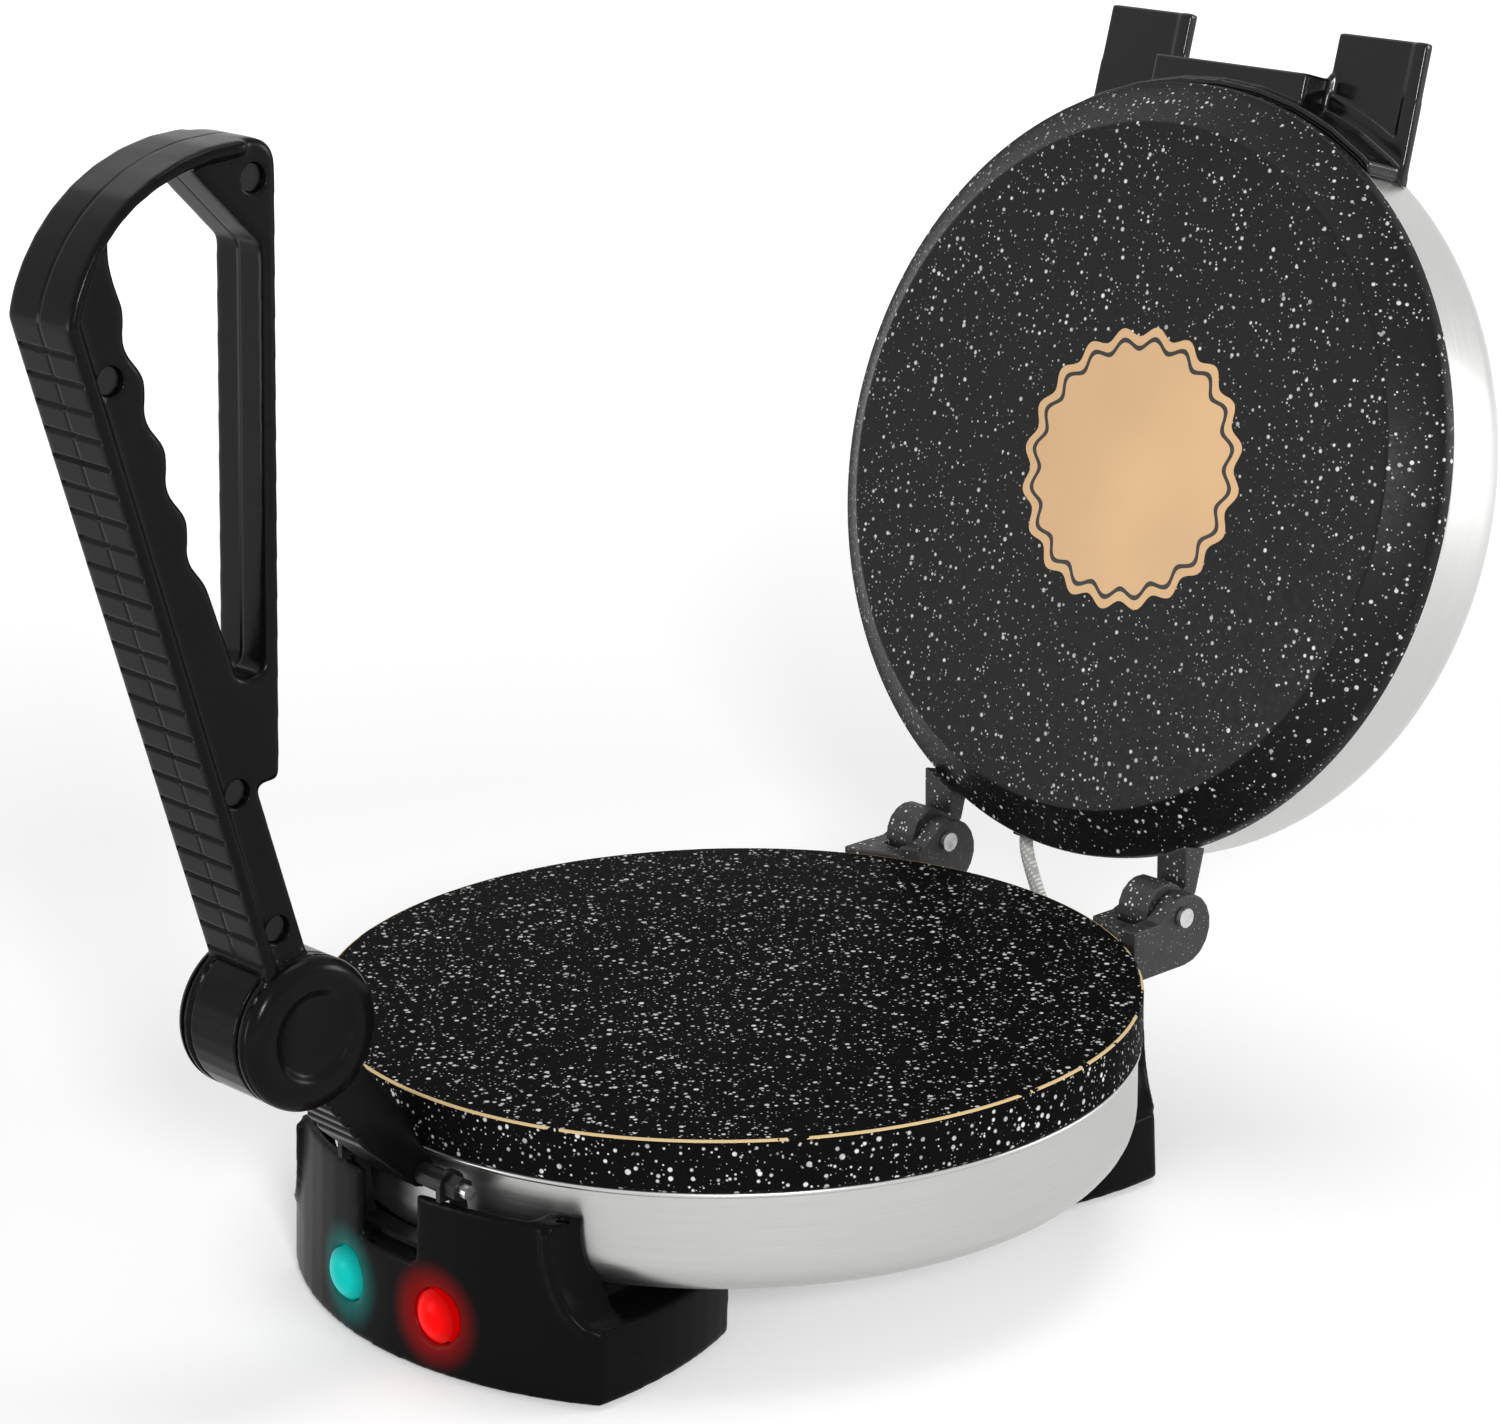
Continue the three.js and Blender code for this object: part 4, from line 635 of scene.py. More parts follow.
def speckled_casting(name):
    """Rough aluminium casting, painted black with light flecks: dark, uneven and low in gloss."""
    material, shader, place = new_material(name)
    ground = mix_colours(
        material, noise(material, place, CASTING_CLOUD), linear_colour("#161617"),
        linear_colour("#323232"))
    flecks = speckles(material, place, CASTING_FLECK, CASTING_FLECK_SHARE, CASTING_SMALLNESS)
    colour = mix_colours(material, flecks, ground, linear_colour("#cfcfca"))
    link(material, colour, shader, "Base Color")
    shader.inputs["Metallic"].default_value = CASTING_METAL
    gloss = band(material, noise(material, place, CASTING_GLOSS), *CASTING_ROUGHNESS)
    link(material, gloss, shader, "Roughness")
    grain = noise(material, place, CASTING_GRAIN, FINE_DETAIL)
    raise_bumps(material, shader, grain, *CASTING_BUMPS)
    return material


def plain_finish(name, dark, light, roughness, tone_size, grain, depth, metallic, stretch):
    """A finish with one tone over another, and a grain of its own size and depth."""
    material, shader, place = new_material(name)
    tone = noise(material, place, tone_size * MM, FINE_DETAIL, stretch)
    colour = mix_colours(material, tone, linear_colour(dark), linear_colour(light))
    link(material, colour, shader, "Base Color")
    link(material, band(material, tone, *roughness), shader, "Roughness")
    fine = noise(material, place, grain * MM, USUAL_DETAIL, stretch)
    raise_bumps(material, shader, fine, depth * MM, PLAIN_STRENGTH)
    shader.inputs["Metallic"].default_value = metallic
    return material


def lacquered_gold(name):
    """Satin gold lacquer with one printed black line that waves in step with the edge."""
    material, shader, place = new_material(name)
    shut = shut_place(material, place, BADGE_CENTRE)
    parts = add_node(material, "ShaderNodeSeparateXYZ", links={"Vector": shut})
    radius = flat_radius(material, parts)
    angle = arithmetic(material, "ARCTAN2", parts.outputs["Y"], parts.outputs["X"])
    wave = arithmetic(
        material, "MULTIPLY",
        arithmetic(material, "COSINE", arithmetic(material, "MULTIPLY", angle, BADGE_LOBES)),
        BADGE_SCALLOP)
    middle = arithmetic(material, "ADD", wave, BADGE_RADIUS - BADGE_LINE_INSET)
    off_line = arithmetic(material, "ABSOLUTE", arithmetic(material, "SUBTRACT", radius, middle))
    line = arithmetic(material, "LESS_THAN", off_line, BADGE_LINE_WIDTH / 2)
    cloud = noise(material, place, GOLD_CLOUD, FLAT_DETAIL)
    gold = two_tones(material, cloud, colours().gold, GOLD_SHARES)
    colour = mix_colours(material, line, gold, linear_colour("#15120f"))
    link(material, colour, shader, "Base Color")
    gloss = band(material, noise(material, place, GOLD_GLOSS), *GOLD_ROUGHNESS)
    link(material, gloss, shader, "Roughness")
    shader.inputs["Metallic"].default_value = GOLD_METAL
    return material


def lit_lens(name, colour, centre):
    """Moulded lens with a neon lamp lit behind it: brightest in the middle, deeper at the rim."""
    material, shader, place = new_material(name)
    share = band(
        material, distance_from(material, place, centre), 0.0, 1.0,
        LENS_RADIUS * LENS_BRIGHT_SHARE, LENS_RADIUS * LENS_RIM_SHARE)
    facets = noise(material, place, LENS_FACET)
    bright = two_tones(material, facets, colour, LENS_SHARES)
    glow = mix_colours(material, share, bright, shade(colour, LENS_EDGE_SHARE))
    dim = two_tones(material, share, colour, UNLIT_SHARES)
    link(material, dim, shader, "Base Color")
    shader.inputs["Specular IOR Level"].default_value = LENS_GLOSS
    link(material, glow, shader, "Emission Color")
    shader.inputs["Emission Strength"].default_value = LENS_STRENGTH
    shader.inputs["Roughness"].default_value = LENS_ROUGHNESS
    raise_bumps(material, shader, facets, *LENS_FACET_BUMPS)
    return material


def woven_sleeving(name):
    """Woven glass fibre sleeving: pale grey, with the crossing threads of its braid."""
    material, shader, place = new_material(name)
    # A braid's threads are about 0.4 mm wide, drawn here about 0.6 mm wide so that they show.
    # The wave node draws 3.2 bands to its unit
    waves = []
    for side in (1, -1):
        turned = add_node(
            material, "ShaderNodeMapping", {"Rotation": (0.0, side * BRAID_ANGLE, 0.0)},
            {"Vector": place})
        waves.append(add_node(
            material, "ShaderNodeTexWave", {"Scale": 1 / BRAID_UNIT, "Distortion": 1.0},
            {"Vector": turned.outputs["Vector"]}).outputs["Fac"])
    braid = arithmetic(material, "MULTIPLY", waves[0], waves[1])
    colour = mix_colours(material, braid, linear_colour("#a4a4a0"), linear_colour("#e6e6e2"))
    link(material, colour, shader, "Base Color")
    link(material, band(material, braid, *BRAID_ROUGHNESS, 0.0, 1.0), shader, "Roughness")
    raise_bumps(material, shader, braid, *BRAID_BUMPS)
    return material


def clear_glass(name):
    """Small blown glass envelope: clear, with the faint orange of the gas and slight waves."""
    material, shader, place = new_material(name)
    tone = noise(material, place, GLASS_WAVE)
    colour = mix_colours(material, tone, linear_colour("#f6d9bf"), linear_colour("#fff1e4"))
    link(material, colour, shader, "Base Color")
    raise_bumps(material, shader, tone, *GLASS_BUMPS)
    shader.inputs["Transmission Weight"].default_value = 1.0
    shader.inputs["Roughness"].default_value = GLASS_ROUGHNESS
    shader.inputs["IOR"].default_value = GLASS_IOR
    return material


# Moulded finishes: name, roughness range, size of the waves, gloss, and if the lamps' glow is
# painted into it
MOULDED_FINISHES = {
    "gloss_phenolic": ("gloss_moulded_phenolic", 0.17, 0.23, GLOSS_WAVE, 0.07),
    "satin_phenolic": ("satin_moulded_phenolic", 0.25, 0.35, SATIN_WAVE, 0.04),
    "bracket_phenolic": ("bracket_moulded_phenolic", 0.14, 0.2, GLOSS_WAVE, 0.28),
    # The front foot, with the lamps' glow painted round its lenses
    "lamp_housing_with_painted_glow": ("lamp_housing_phenolic", 0.25, 0.35, SATIN_WAVE, 0.04, True),
}

# Plain finishes: name, dark and light tone, roughness range, in millimetres the size of the tone,
# the size of the grain and its depth, then the metallic share and the stretch
PLAIN_FINISHES = {
    # Moulded rubber: near black and dull, with the fine pits of its mould
    "rubber": (
        "moulded_black_rubber", "#0b0b0b", "#1a1a1a", (0.75, 0.95), 5, 0.5, 0.08, 0.0, EVEN),
    # Bright zinc plating: pale, slightly blue, clouded by its passivation
    "zinc": (
        "bright_zinc_plating", "#b4b6b8", "#dcdcd8", (0.22, 0.38), 3, 0.6, 0.03, 1.0, EVEN),
    # Blackened steel: dark oxide that lets the metal's sheen through
    "black_steel": (
        "blackened_steel", "#141415", "#2a2a2b", (0.35, 0.5), 4, 0.5, 0.04, 0.7, EVEN),
    # Blued screws: darker than the moulding round them, with a hard glint on their edges
    "screw_steel": (
        "blued_screw_steel", "#060607", "#101012", (0.2, 0.3), 2, 0.5, 0.02, 0.6, EVEN),
    # Pressed mineral wool: cream fibres lying flat, with no gloss
    "wool": (
        "pressed_mineral_wool", "#bdb59c", "#e6e0cf", (0.9, 1.0), 3, 1.0, 0.5, 0.0, FIBROUS),
    # Steatite: fired unglazed ceramic, warm white with a dry sheen
    "steatite": (
        "unglazed_steatite", "#d3ccb8", "#ece6d6", (0.5, 0.65), 4, 0.7, 0.04, 0.0, EVEN),
}
MATERIALS = {}


def make_materials():
    """Makes every finish of the machine once, by the name of its real material."""
    MATERIALS["lower_coating"] = granite_coating(
        "lower_granite_coating", sizes().lower_speckle, 0.34, 1.2, 1.03, True)
    MATERIALS["upper_coating"] = granite_coating(
        "upper_granite_coating", sizes().upper_speckle, 0.28, 1.5, 1.25)
    for key, values in MOULDED_FINISHES.items():
        MATERIALS[key] = moulded_phenolic(*values)
    # Shaded and lit copies of one steel: the pan is painted darker than the shell, as shade
    MATERIALS["pan_steel_painted_shade"] = satin_steel("pan_brushed_steel", 0.76, False)
    MATERIALS["shell_steel_painted_light"] = satin_steel("shell_brushed_steel", 0.84, True)
    MATERIALS["casting"] = speckled_casting("painted_hinge_casting")
    MATERIALS["badge"] = lacquered_gold("lacquered_gold_badge")
    for colour, tone in (("green", colours().green_lamp), ("red", colours().red_lamp)):
        MATERIALS[colour + "_lens"] = lit_lens(
            "lit_" + colour + "_lens", tone, lens_centre(colour))
    MATERIALS["sleeving"] = woven_sleeving("woven_glass_sleeving")
    MATERIALS["glass"] = clear_glass("neon_lamp_glass")
    for key, values in PLAIN_FINISHES.items():
        MATERIALS[key] = plain_finish(*values)


# Shaping
def clear_selection():
    if bpy.context.object and bpy.context.object.mode != "OBJECT":
        bpy.ops.object.mode_set(mode="OBJECT")
    bpy.ops.object.select_all(action="DESELECT")


def take(piece):
    """Makes one object the selected and active one."""
    clear_selection()
    piece.select_set(True)
    bpy.context.view_layer.objects.active = piece


def apply_modifiers(piece):
    take(piece)
    for modifier in list(piece.modifiers):
        bpy.ops.object.modifier_apply(modifier=modifier.name)


def settle(piece, matrix):
    """Moves a piece by a matrix and writes its place into its mesh."""
    piece.matrix_world = matrix
    take(piece)
    bpy.ops.object.transform_apply(location=True, rotation=True, scale=True)


def smooth_but_creases(piece, angle):
    take(piece)
    bpy.ops.object.shade_smooth_by_angle(angle=angle)


def draw_up(height):
    """Draws the flat piece in hand up into a solid, with its faces pointing outwards."""
    bpy.ops.object.mode_set(mode="EDIT")
    bpy.ops.mesh.select_all(action="SELECT")
    bpy.ops.mesh.extrude_region_move(TRANSFORM_OT_translate={"value": (0, 0, height)})
    bpy.ops.mesh.select_all(action="SELECT")
    bpy.ops.mesh.normals_make_consistent(inside=False)
    bpy.ops.object.mode_set(mode="OBJECT")


def add_softening(piece, name, indices, passes):
    """Smooths some of a piece's points when its modifiers are applied."""
    group = piece.vertex_groups.new(name=name)
    group.add(indices, 1.0, "REPLACE")
    soft = piece.modifiers.new(name, "SMOOTH")
    soft.vertex_group = name
    soft.factor = SOFTENING
    soft.iterations = passes


def skinned_node(node, voxel, passes, material, body):
    """A CAD node under a soft skin, in its own place."""
    piece = moulded_skin(welded_copy(node), voxel, passes)
    return finish_piece(piece, node + "_finished", material, body, [node])


def finish_piece(piece, name, material, body, nodes):
    """Names a piece, gives it its finish and its body, and lets it stand for CAD nodes.
    A piece that bends between two bodies has none of its own."""
    piece.name = name
    piece.data.name = name
    piece.data.materials.clear()
    piece.data.materials.append(MATERIALS[material])
    if body:
        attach(piece, body)
    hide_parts(*nodes)
    return piece


def turned_piece(profile, steps, matrix):
    """A round piece drawn up from a filled circle: each step extrudes its face and resizes it."""
    clear_selection()
    radius, height = profile[0]
    bpy.ops.mesh.primitive_circle_add(
        vertices=steps, radius=radius, fill_type="NGON", location=(0, 0, height))
    piece = bpy.context.object
    bpy.ops.object.transform_apply(location=True, rotation=True, scale=True)
    bpy.ops.object.mode_set(mode="EDIT")
    bpy.ops.mesh.select_all(action="SELECT")
    for next_radius, next_height in profile[1:]:
        bpy.ops.mesh.extrude_region_move(
            TRANSFORM_OT_translate={"value": (0, 0, next_height - height)})
        ratio = next_radius / radius
        bpy.ops.transform.resize(value=(ratio, ratio, 1), center_override=(0, 0, next_height))
        radius, height = next_radius, next_height
    bpy.ops.mesh.select_all(action="SELECT")
    bpy.ops.mesh.normals_make_consistent(inside=False)
    bpy.ops.object.mode_set(mode="OBJECT")
    settle(piece, matrix)
    return piece


def round_node(node, profile, steps, matrix, material, body):
    """A turned piece in place of a CAD node, smooth but for its creases."""
    piece = turned_piece(profile, steps, matrix)
    smooth_but_creases(piece, TURNED_CREASE)
    return finish_piece(piece, node + "_finished", material, body, [node])


def bow(centre_radius, centre_height, radius, start, end, steps=CORNER_STEPS):
    """Points of an arc on a turned profile, from one angle to another in degrees."""
    return swept(centre_radius, centre_height, radius, radius, start, end, steps)


def swept(centre_radius, centre_height, reach, rise, start, end, steps=CORNER_STEPS):
    """Points of a flattened arc on a turned profile, wider than it is high."""
    angles = [math.radians(start + (end - start) * i / steps) for i in range(steps + 1)]
    return [
        (centre_radius + reach * math.cos(a), centre_height + rise * math.sin(a)) for a in angles
    ]


def welded_copy(node, whole_flats=False):
    """A copy of a CAD node with its loose triangles joined, and its flats made whole if asked."""
    piece = bpy.data.objects.new(node + "_copy", frame["nodes"][node].data.copy())
    bpy.context.scene.collection.objects.link(piece)
    take(piece)
    bpy.ops.object.mode_set(mode="EDIT")
    bpy.ops.mesh.select_all(action="SELECT")
    bpy.ops.mesh.remove_doubles(threshold=JOIN_REACH)
    if whole_flats:
        bpy.ops.mesh.dissolve_limited(angle_limit=FLAT_ANGLE, use_dissolve_boundaries=False)
    bpy.ops.object.mode_set(mode="OBJECT")
    if piece.data.has_custom_normals:
        bpy.ops.mesh.customdata_custom_splitnormals_clear()
    return piece


def joined(pieces):
    """Makes one object of several, the first one kept."""
    clear_selection()
    for piece in pieces:
        piece.select_set(True)
    bpy.context.view_layer.objects.active = pieces[0]
    bpy.ops.object.join()
    return bpy.context.object


def box_piece(low, high, matrix):
    """A bar between two corners, placed by a matrix."""
    clear_selection()
    bpy.ops.mesh.primitive_cube_add(size=1)
    piece = bpy.context.object
    settle(piece, (
        matrix @ Matrix.Translation((Vector(low) + Vector(high)) / 2)
        @ Matrix.Diagonal((*(Vector(high) - Vector(low)), 1))))
    return piece


def cut_away(piece, cutters):
    """Cuts other pieces out of a piece, and removes them."""
    for cutter in cutters:
        cut = piece.modifiers.new("cut", "BOOLEAN")
        cut.operation = "DIFFERENCE"
        cut.solver = "MANIFOLD"
        cut.object = cutter
    apply_modifiers(piece)
    for cutter in cutters:
        bpy.data.objects.remove(cutter)


def moulded_skin(piece, voxel, passes, kept=()):
    """Draws one skin over all that overlaps in a piece, with the soft edges of a moulding.
    Kept are places and reaches inside which the skin is softened by only a few passes."""
    skin = piece.modifiers.new("skin", "REMESH")
    skin.mode = "VOXEL"
    skin.voxel_size = voxel
    apply_modifiers(piece)
    near = []
    free = []
    for vertex in piece.data.vertices:
        close = any((vertex.co - place).length < reach for place, reach in kept)
        (near if close else free).append(vertex.index)
    add_softening(piece, "near", near, KEPT_PASSES)
    add_softening(piece, "free", free, passes)
    apply_modifiers(piece)
    piece.vertex_groups.clear()
    bpy.ops.object.shade_smooth()
    return piece


def pipe(points, radius):
    """A tube along points with closed ends, as a mesh."""
    clear_selection()
    curve = bpy.data.curves.new("pipe", "CURVE")
    curve.dimensions = "3D"
    curve.bevel_depth = radius
    curve.bevel_resolution = PIPE_ROUNDNESS
    curve.use_fill_caps = True
    line = curve.splines.new("POLY")
    line.points.add(len(points) - 1)
    for point, place in zip(line.points, points):
        point.co = (*place, 1)
    piece = bpy.data.objects.new("pipe", curve)
    bpy.context.scene.collection.objects.link(piece)
    take(piece)
    bpy.ops.object.convert(target="MESH")
    piece = bpy.context.object
    bpy.ops.object.mode_set(mode="EDIT")
    bpy.ops.mesh.select_all(action="SELECT")
    bpy.ops.mesh.remove_doubles(threshold=JOIN_REACH)
    bpy.ops.mesh.normals_make_consistent(inside=False)
    bpy.ops.object.mode_set(mode="OBJECT")
    return piece


def lens_centre(colour):
    low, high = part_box(colour + "_lamp_lens")
    return Vector(((low.x + high.x) / 2, low.y, (low.z + high.z) / 2))


# Pieces
def bowl_profile(floor, depth, corner):
    """Half section of a pressed bowl, out along its floor, over its rolled lip and back inside."""
    lip = floor + depth
    lip_bead = LIP_HEIGHT / 2
    bead_centre = LIP_RADIUS - lip_bead
    middle = floor + corner
    return [
        (BOLT_HOLE, floor),
        *bow(BOWL_RADIUS - corner, middle, corner, -90, 0),
        (BOWL_RADIUS, lip - LIP_HEIGHT),
        *bow(bead_centre, lip - lip_bead, lip_bead, -60, 90),
        (BOWL_RADIUS - SHEET, lip),
        *bow(BOWL_RADIUS - corner, middle, corner - SHEET, 0, -90),
        (BOLT_HOLE, floor + SHEET),
    ]


def cast_profile(face, outwards, web, outer):
    """Half section of a cast plate: its boss, its skirt, its edge and then its working face.
    Outwards is 1 where the working face looks up and -1 where it looks down."""
    underside = face - outwards * web
    boss_end = underside - outwards * BOSS_HEIGHT
    skirt_end = outer[0][1]
    return [
        (BOLT_HOLE, face - outwards * BOLT_DEPTH),
        (BOLT_HOLE, boss_end),
        (BOSS_RADIUS, boss_end),
        (BOSS_RADIUS, underside),
        (PLATE_RADIUS - SKIRT_WIDTH, underside),
        (PLATE_RADIUS - SKIRT_WIDTH, skirt_end),
        *outer,
    ]


class ROTI_OT_lower_half(bpy.types.Operator):
    """Turn the lower pan with its rolled lip, and the lower plate with its rounded edge"""

    bl_idname = "roti.lower_half"
    bl_label = "Lower Half"

    def execute(self, context):
        centre = Matrix.Translation(PLATE_CENTRE)
        low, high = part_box("lower_pan")
        bowl = bowl_profile(low.z, high.z - low.z, PAN_CORNER)
        round_node("lower_pan", bowl, ROUND_STEPS, centre, "pan_steel_painted_shade", "base")
        edge = sizes().plate_edge
        skirt_end = PLATE_LOW.z if PLATE_LOW.z > high.z else high.z + GAP
        outer = [
            (PLATE_RADIUS - edge, skirt_end),
            (PLATE_RADIUS, skirt_end + edge),
            *bow(PLATE_RADIUS - edge, PLATE_TOP - edge, edge, 0, 90, EDGE_STEPS),
            (PLATE_RADIUS / 3, PLATE_TOP),
        ]
        plate = cast_profile(PLATE_TOP, 1, LOWER_WEB, outer)
        round_node("lower_plate", plate, ROUND_STEPS, centre, "lower_coating", "base")
        return {"FINISHED"}


class ROTI_OT_lid(bpy.types.Operator):
    """Turn the upper plate with its disc and sloping ring, and the steel shell over it"""

    bl_idname = "roti.lid"
    bl_label = "Lid"

    def execute(self, context):
        place = OPEN_LID @ Matrix.Translation(PLATE_CENTRE)
        edge = sizes().plate_edge
        crease = sizes().disc_crease
        slope = math.atan2(BEVEL_RISE, BEVEL_REACH)
        crease_centre = DISC_RADIUS - crease * math.tan(slope / 2)
        outer = [
            (PLATE_RADIUS, LID_RIM),
            (PLATE_RADIUS, LID_FACE + BEVEL_RISE + edge + edge),
            (PLATE_RADIUS - edge / 2, LID_FACE + BEVEL_RISE + edge),
            (DISC_RADIUS + BEVEL_REACH, LID_FACE + BEVEL_RISE),
            *bow(
                crease_centre, LID_FACE + crease, crease, math.degrees(slope) - 90, -90,
                EDGE_STEPS),
            (PLATE_RADIUS / 3, LID_FACE),
        ]
        plate = cast_profile(LID_FACE, -1, UPPER_WEB, outer)
        round_node("upper_plate", plate, ROUND_STEPS, place, "upper_coating", "lid")
        shell_top = LID_RIM + GAP + SHELL_DEPTH
        shell = [
            (radius, -height)
            for radius, height in bowl_profile(-shell_top, SHELL_DEPTH, SHELL_CORNER)
        ]
        round_node("upper_shell", shell, ROUND_STEPS, place, "shell_steel_painted_light", "lid")
        return {"FINISHED"}


class ROTI_OT_badge(bpy.types.Operator):
    """Cut the bare badge with its scalloped edge, and print its waving line"""

    bl_idname = "roti.badge"
    bl_label = "Badge"

    def execute(self, context):
        clear_selection()
        steps = BADGE_LOBES * BADGE_LOBE_STEPS
        bpy.ops.mesh.primitive_circle_add(vertices=steps, radius=BADGE_RADIUS, fill_type="NGON")
        badge = bpy.context.object
        for vertex in badge.data.vertices:
            angle = math.atan2(vertex.co.y, vertex.co.x)
            reach = BADGE_RADIUS + BADGE_SCALLOP * math.cos(BADGE_LOBES * angle)
            vertex.co = Vector((reach * math.cos(angle), reach * math.sin(angle), 0))
        draw_up(BADGE_THICKNESS + BADGE_PROUD)
        settle(badge, OPEN_LID @ Matrix.Translation(
            BADGE_CENTRE + UP * (LID_FACE - BADGE_PROUD)))
        finish_piece(badge, "badge_finished", "badge", "lid", ["badge_plate"])
        return {"FINISHED"}


def true_barrel(piece):
    """Brings the faceted barrel of the handle to a true cylinder."""
    for vertex in piece.data.vertices:
        arm = vertex.co - BARREL_POINT
        away = math.hypot(arm.y, arm.z)
        if abs(arm.x) < CAP_FACE - BARREL_CLEAR and abs(away - BARREL_RADIUS) < BARREL_FACET:
            ratio = BARREL_RADIUS / away
            vertex.co.y = BARREL_POINT.y + arm.y * ratio
            vertex.co.z = BARREL_POINT.z + arm.z * ratio


def smooth_bend(piece):
    """Evens out the facets of the outer face of the bend, and leaves its edges alone."""
    window = BARREL_POINT + WINDOW_CENTRE
    face = []
    for vertex in piece.data.vertices:
        arm = vertex.co - window
        outer = abs(vertex.normal.x) < BEND_TILT and vertex.normal.dot(arm) > 0
        if outer and vertex.co.z > window.z and abs(vertex.co.x) < BAND_HALF - EDGE_KEPT:
            face.append(vertex.index)
    add_softening(piece, "bend", face, BEND_PASSES)
    apply_modifiers(piece)
    piece.vertex_groups.clear()


def draw_seam(piece):
    """Presses the fine line of the mould joint into the middle of the handle."""
    for vertex in piece.data.vertices:
        arm = vertex.co - BARREL_POINT
        if abs(arm.x) < SEAM_NEAR and math.hypot(arm.y, arm.z) > BARREL_RADIUS + BARREL_CLEAR:
            vertex.co -= vertex.normal * SEAM_DEPTH


def cut_grooves(piece):
    """Presses the finger grooves into the band, each running out short of the band's sides."""
    lean = Matrix.Rotation(-BAND_LEAN, 4, "X")
    to_band = lean @ Matrix.Translation(-BAND_START)
    inwards = Vector((0, math.cos(BAND_LEAN), math.sin(BAND_LEAN)))
    for vertex in piece.data.vertices:
        x, y, z = to_band @ vertex.co
        if abs(y) > GROOVE_REACH or not 0 < z < BAND_LENGTH:
            continue
        number = round((z - GROOVE_FIRST) / GROOVE_PITCH)
        number = min(max(number, 0), GROOVE_COUNT - 1)
        off = abs(z - GROOVE_FIRST - number * GROOVE_PITCH) / GROOVE_HALF_WIDTH
        end = min(1.0, max(0.0, (GROOVE_END - abs(x)) / GROOVE_HALF_WIDTH))
        depth = GROOVE_DEPTH * end * max(0.0, 1 - off * off)
        vertex.co += inwards * depth


class ROTI_OT_handle(bpy.types.Operator):
    """Mould the two handle halves as one skin, part them at the seam, and turn the barrel's caps"""

    bl_idname = "roti.handle"
    bl_label = "Handle"

    def execute(self, context):
        parts = []
        for side_name, side in (("right", 1), ("left", -1)):
            half = welded_copy("handle_half_" + side_name, True)
            for vertex in half.data.vertices:
                if abs(vertex.co.x) < SEAM_REACH:
                    vertex.co.x = -side * SEAM_REACH
            parts.append(half)
        # A bar fills the grooves, which are pressed in again once the edges are soft
        place = Matrix.Translation(BAND_START) @ Matrix.Rotation(BAND_LEAN, 4, "X")
        parts.append(box_piece(
            (-BAND_HALF, 0, 0), (BAND_HALF, BAR_DEPTH, BAND_LENGTH), place))
        kept = []
        for name in ("top", "grip", "guard", "stem"):
            low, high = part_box("handle_screw_" + name)
            for x in (low.x, high.x):
                kept.append((Vector((x, (low.y + high.y) / 2, (low.z + high.z) / 2)), SCREW_KEPT))
        whole = moulded_skin(joined(parts), sizes().handle_voxel, HANDLE_PASSES, kept)
        true_barrel(whole)
        smooth_bend(whole)
        draw_seam(whole)
        cut_grooves(whole)
        for side_name, side in (("right", 1), ("left", -1)):
            half = bpy.data.objects.new("handle_half", whole.data.copy())
            context.scene.collection.objects.link(half)
            low, high = sorted((0, -side))
            cut_away(half, [box_piece((low, -1, -1), (high, 1, 1), Matrix.Identity(4))])
            smooth_but_creases(half, MOULDED_CREASE)
            name = "handle_half_" + side_name
            finish_piece(half, name + "_finished", "gloss_phenolic", "handle", [name])
        bpy.data.objects.remove(whole)
        profile = [
            *swept(BARREL_RADIUS - CAP_SHOULDER, CAP_FACE, CAP_SHOULDER, CAP_END - CAP_FACE, 0, 90),
            *(
                (CAP_DISH - inwards * CAP_RECESS / 2, CAP_END - down * CAP_RECESS / 6)
                for inwards, down in CAP_SLOPE
            ),
            (CAP_RECESS, CAP_END - CAP_RECESS),
        ]
        for side, turn in (("right", 90), ("left", -90)):
            place = Matrix.Translation(BARREL_POINT) @ Matrix.Rotation(math.radians(turn), 4, "Y")
            name = "barrel_cap_" + side
            round_node(name, profile, 2 * SMALL_ROUND_STEPS, place, "gloss_phenolic", "handle")
        return {"FINISHED"}


class ROTI_OT_lever(bpy.types.Operator):
    """Round the edges of the ribbed lever arm"""

    bl_idname = "roti.lever"
    bl_label = "Lever Arm"

    def execute(self, context):
        skinned_node("lever_arm", SMALL_SKIN, LEVER_PASSES, "gloss_phenolic", "lever")
        return {"FINISHED"}


def ridge_line(side, turn, behind):
    """The line of a rounded ridge down the hollow shoulder of a foot, behind its bowed face."""
    points = []
    for i in range(SHOULDER_STEPS + 1):
        angle = SHOULDER_TURN * i / SHOULDER_STEPS
        x = SHOULDER_OUT - (SHOULDER_INSET + RIDGE_SINK) * math.cos(angle)
        z = SHOULDER_UP - (SHOULDER_DROP + RIDGE_SINK) * math.sin(angle)
        y = FACE_CENTRE_Y - math.sqrt(FACE_RADIUS ** 2 - x ** 2) + behind
        points.append(turn @ Vector((side * x, y, z)))
    return points


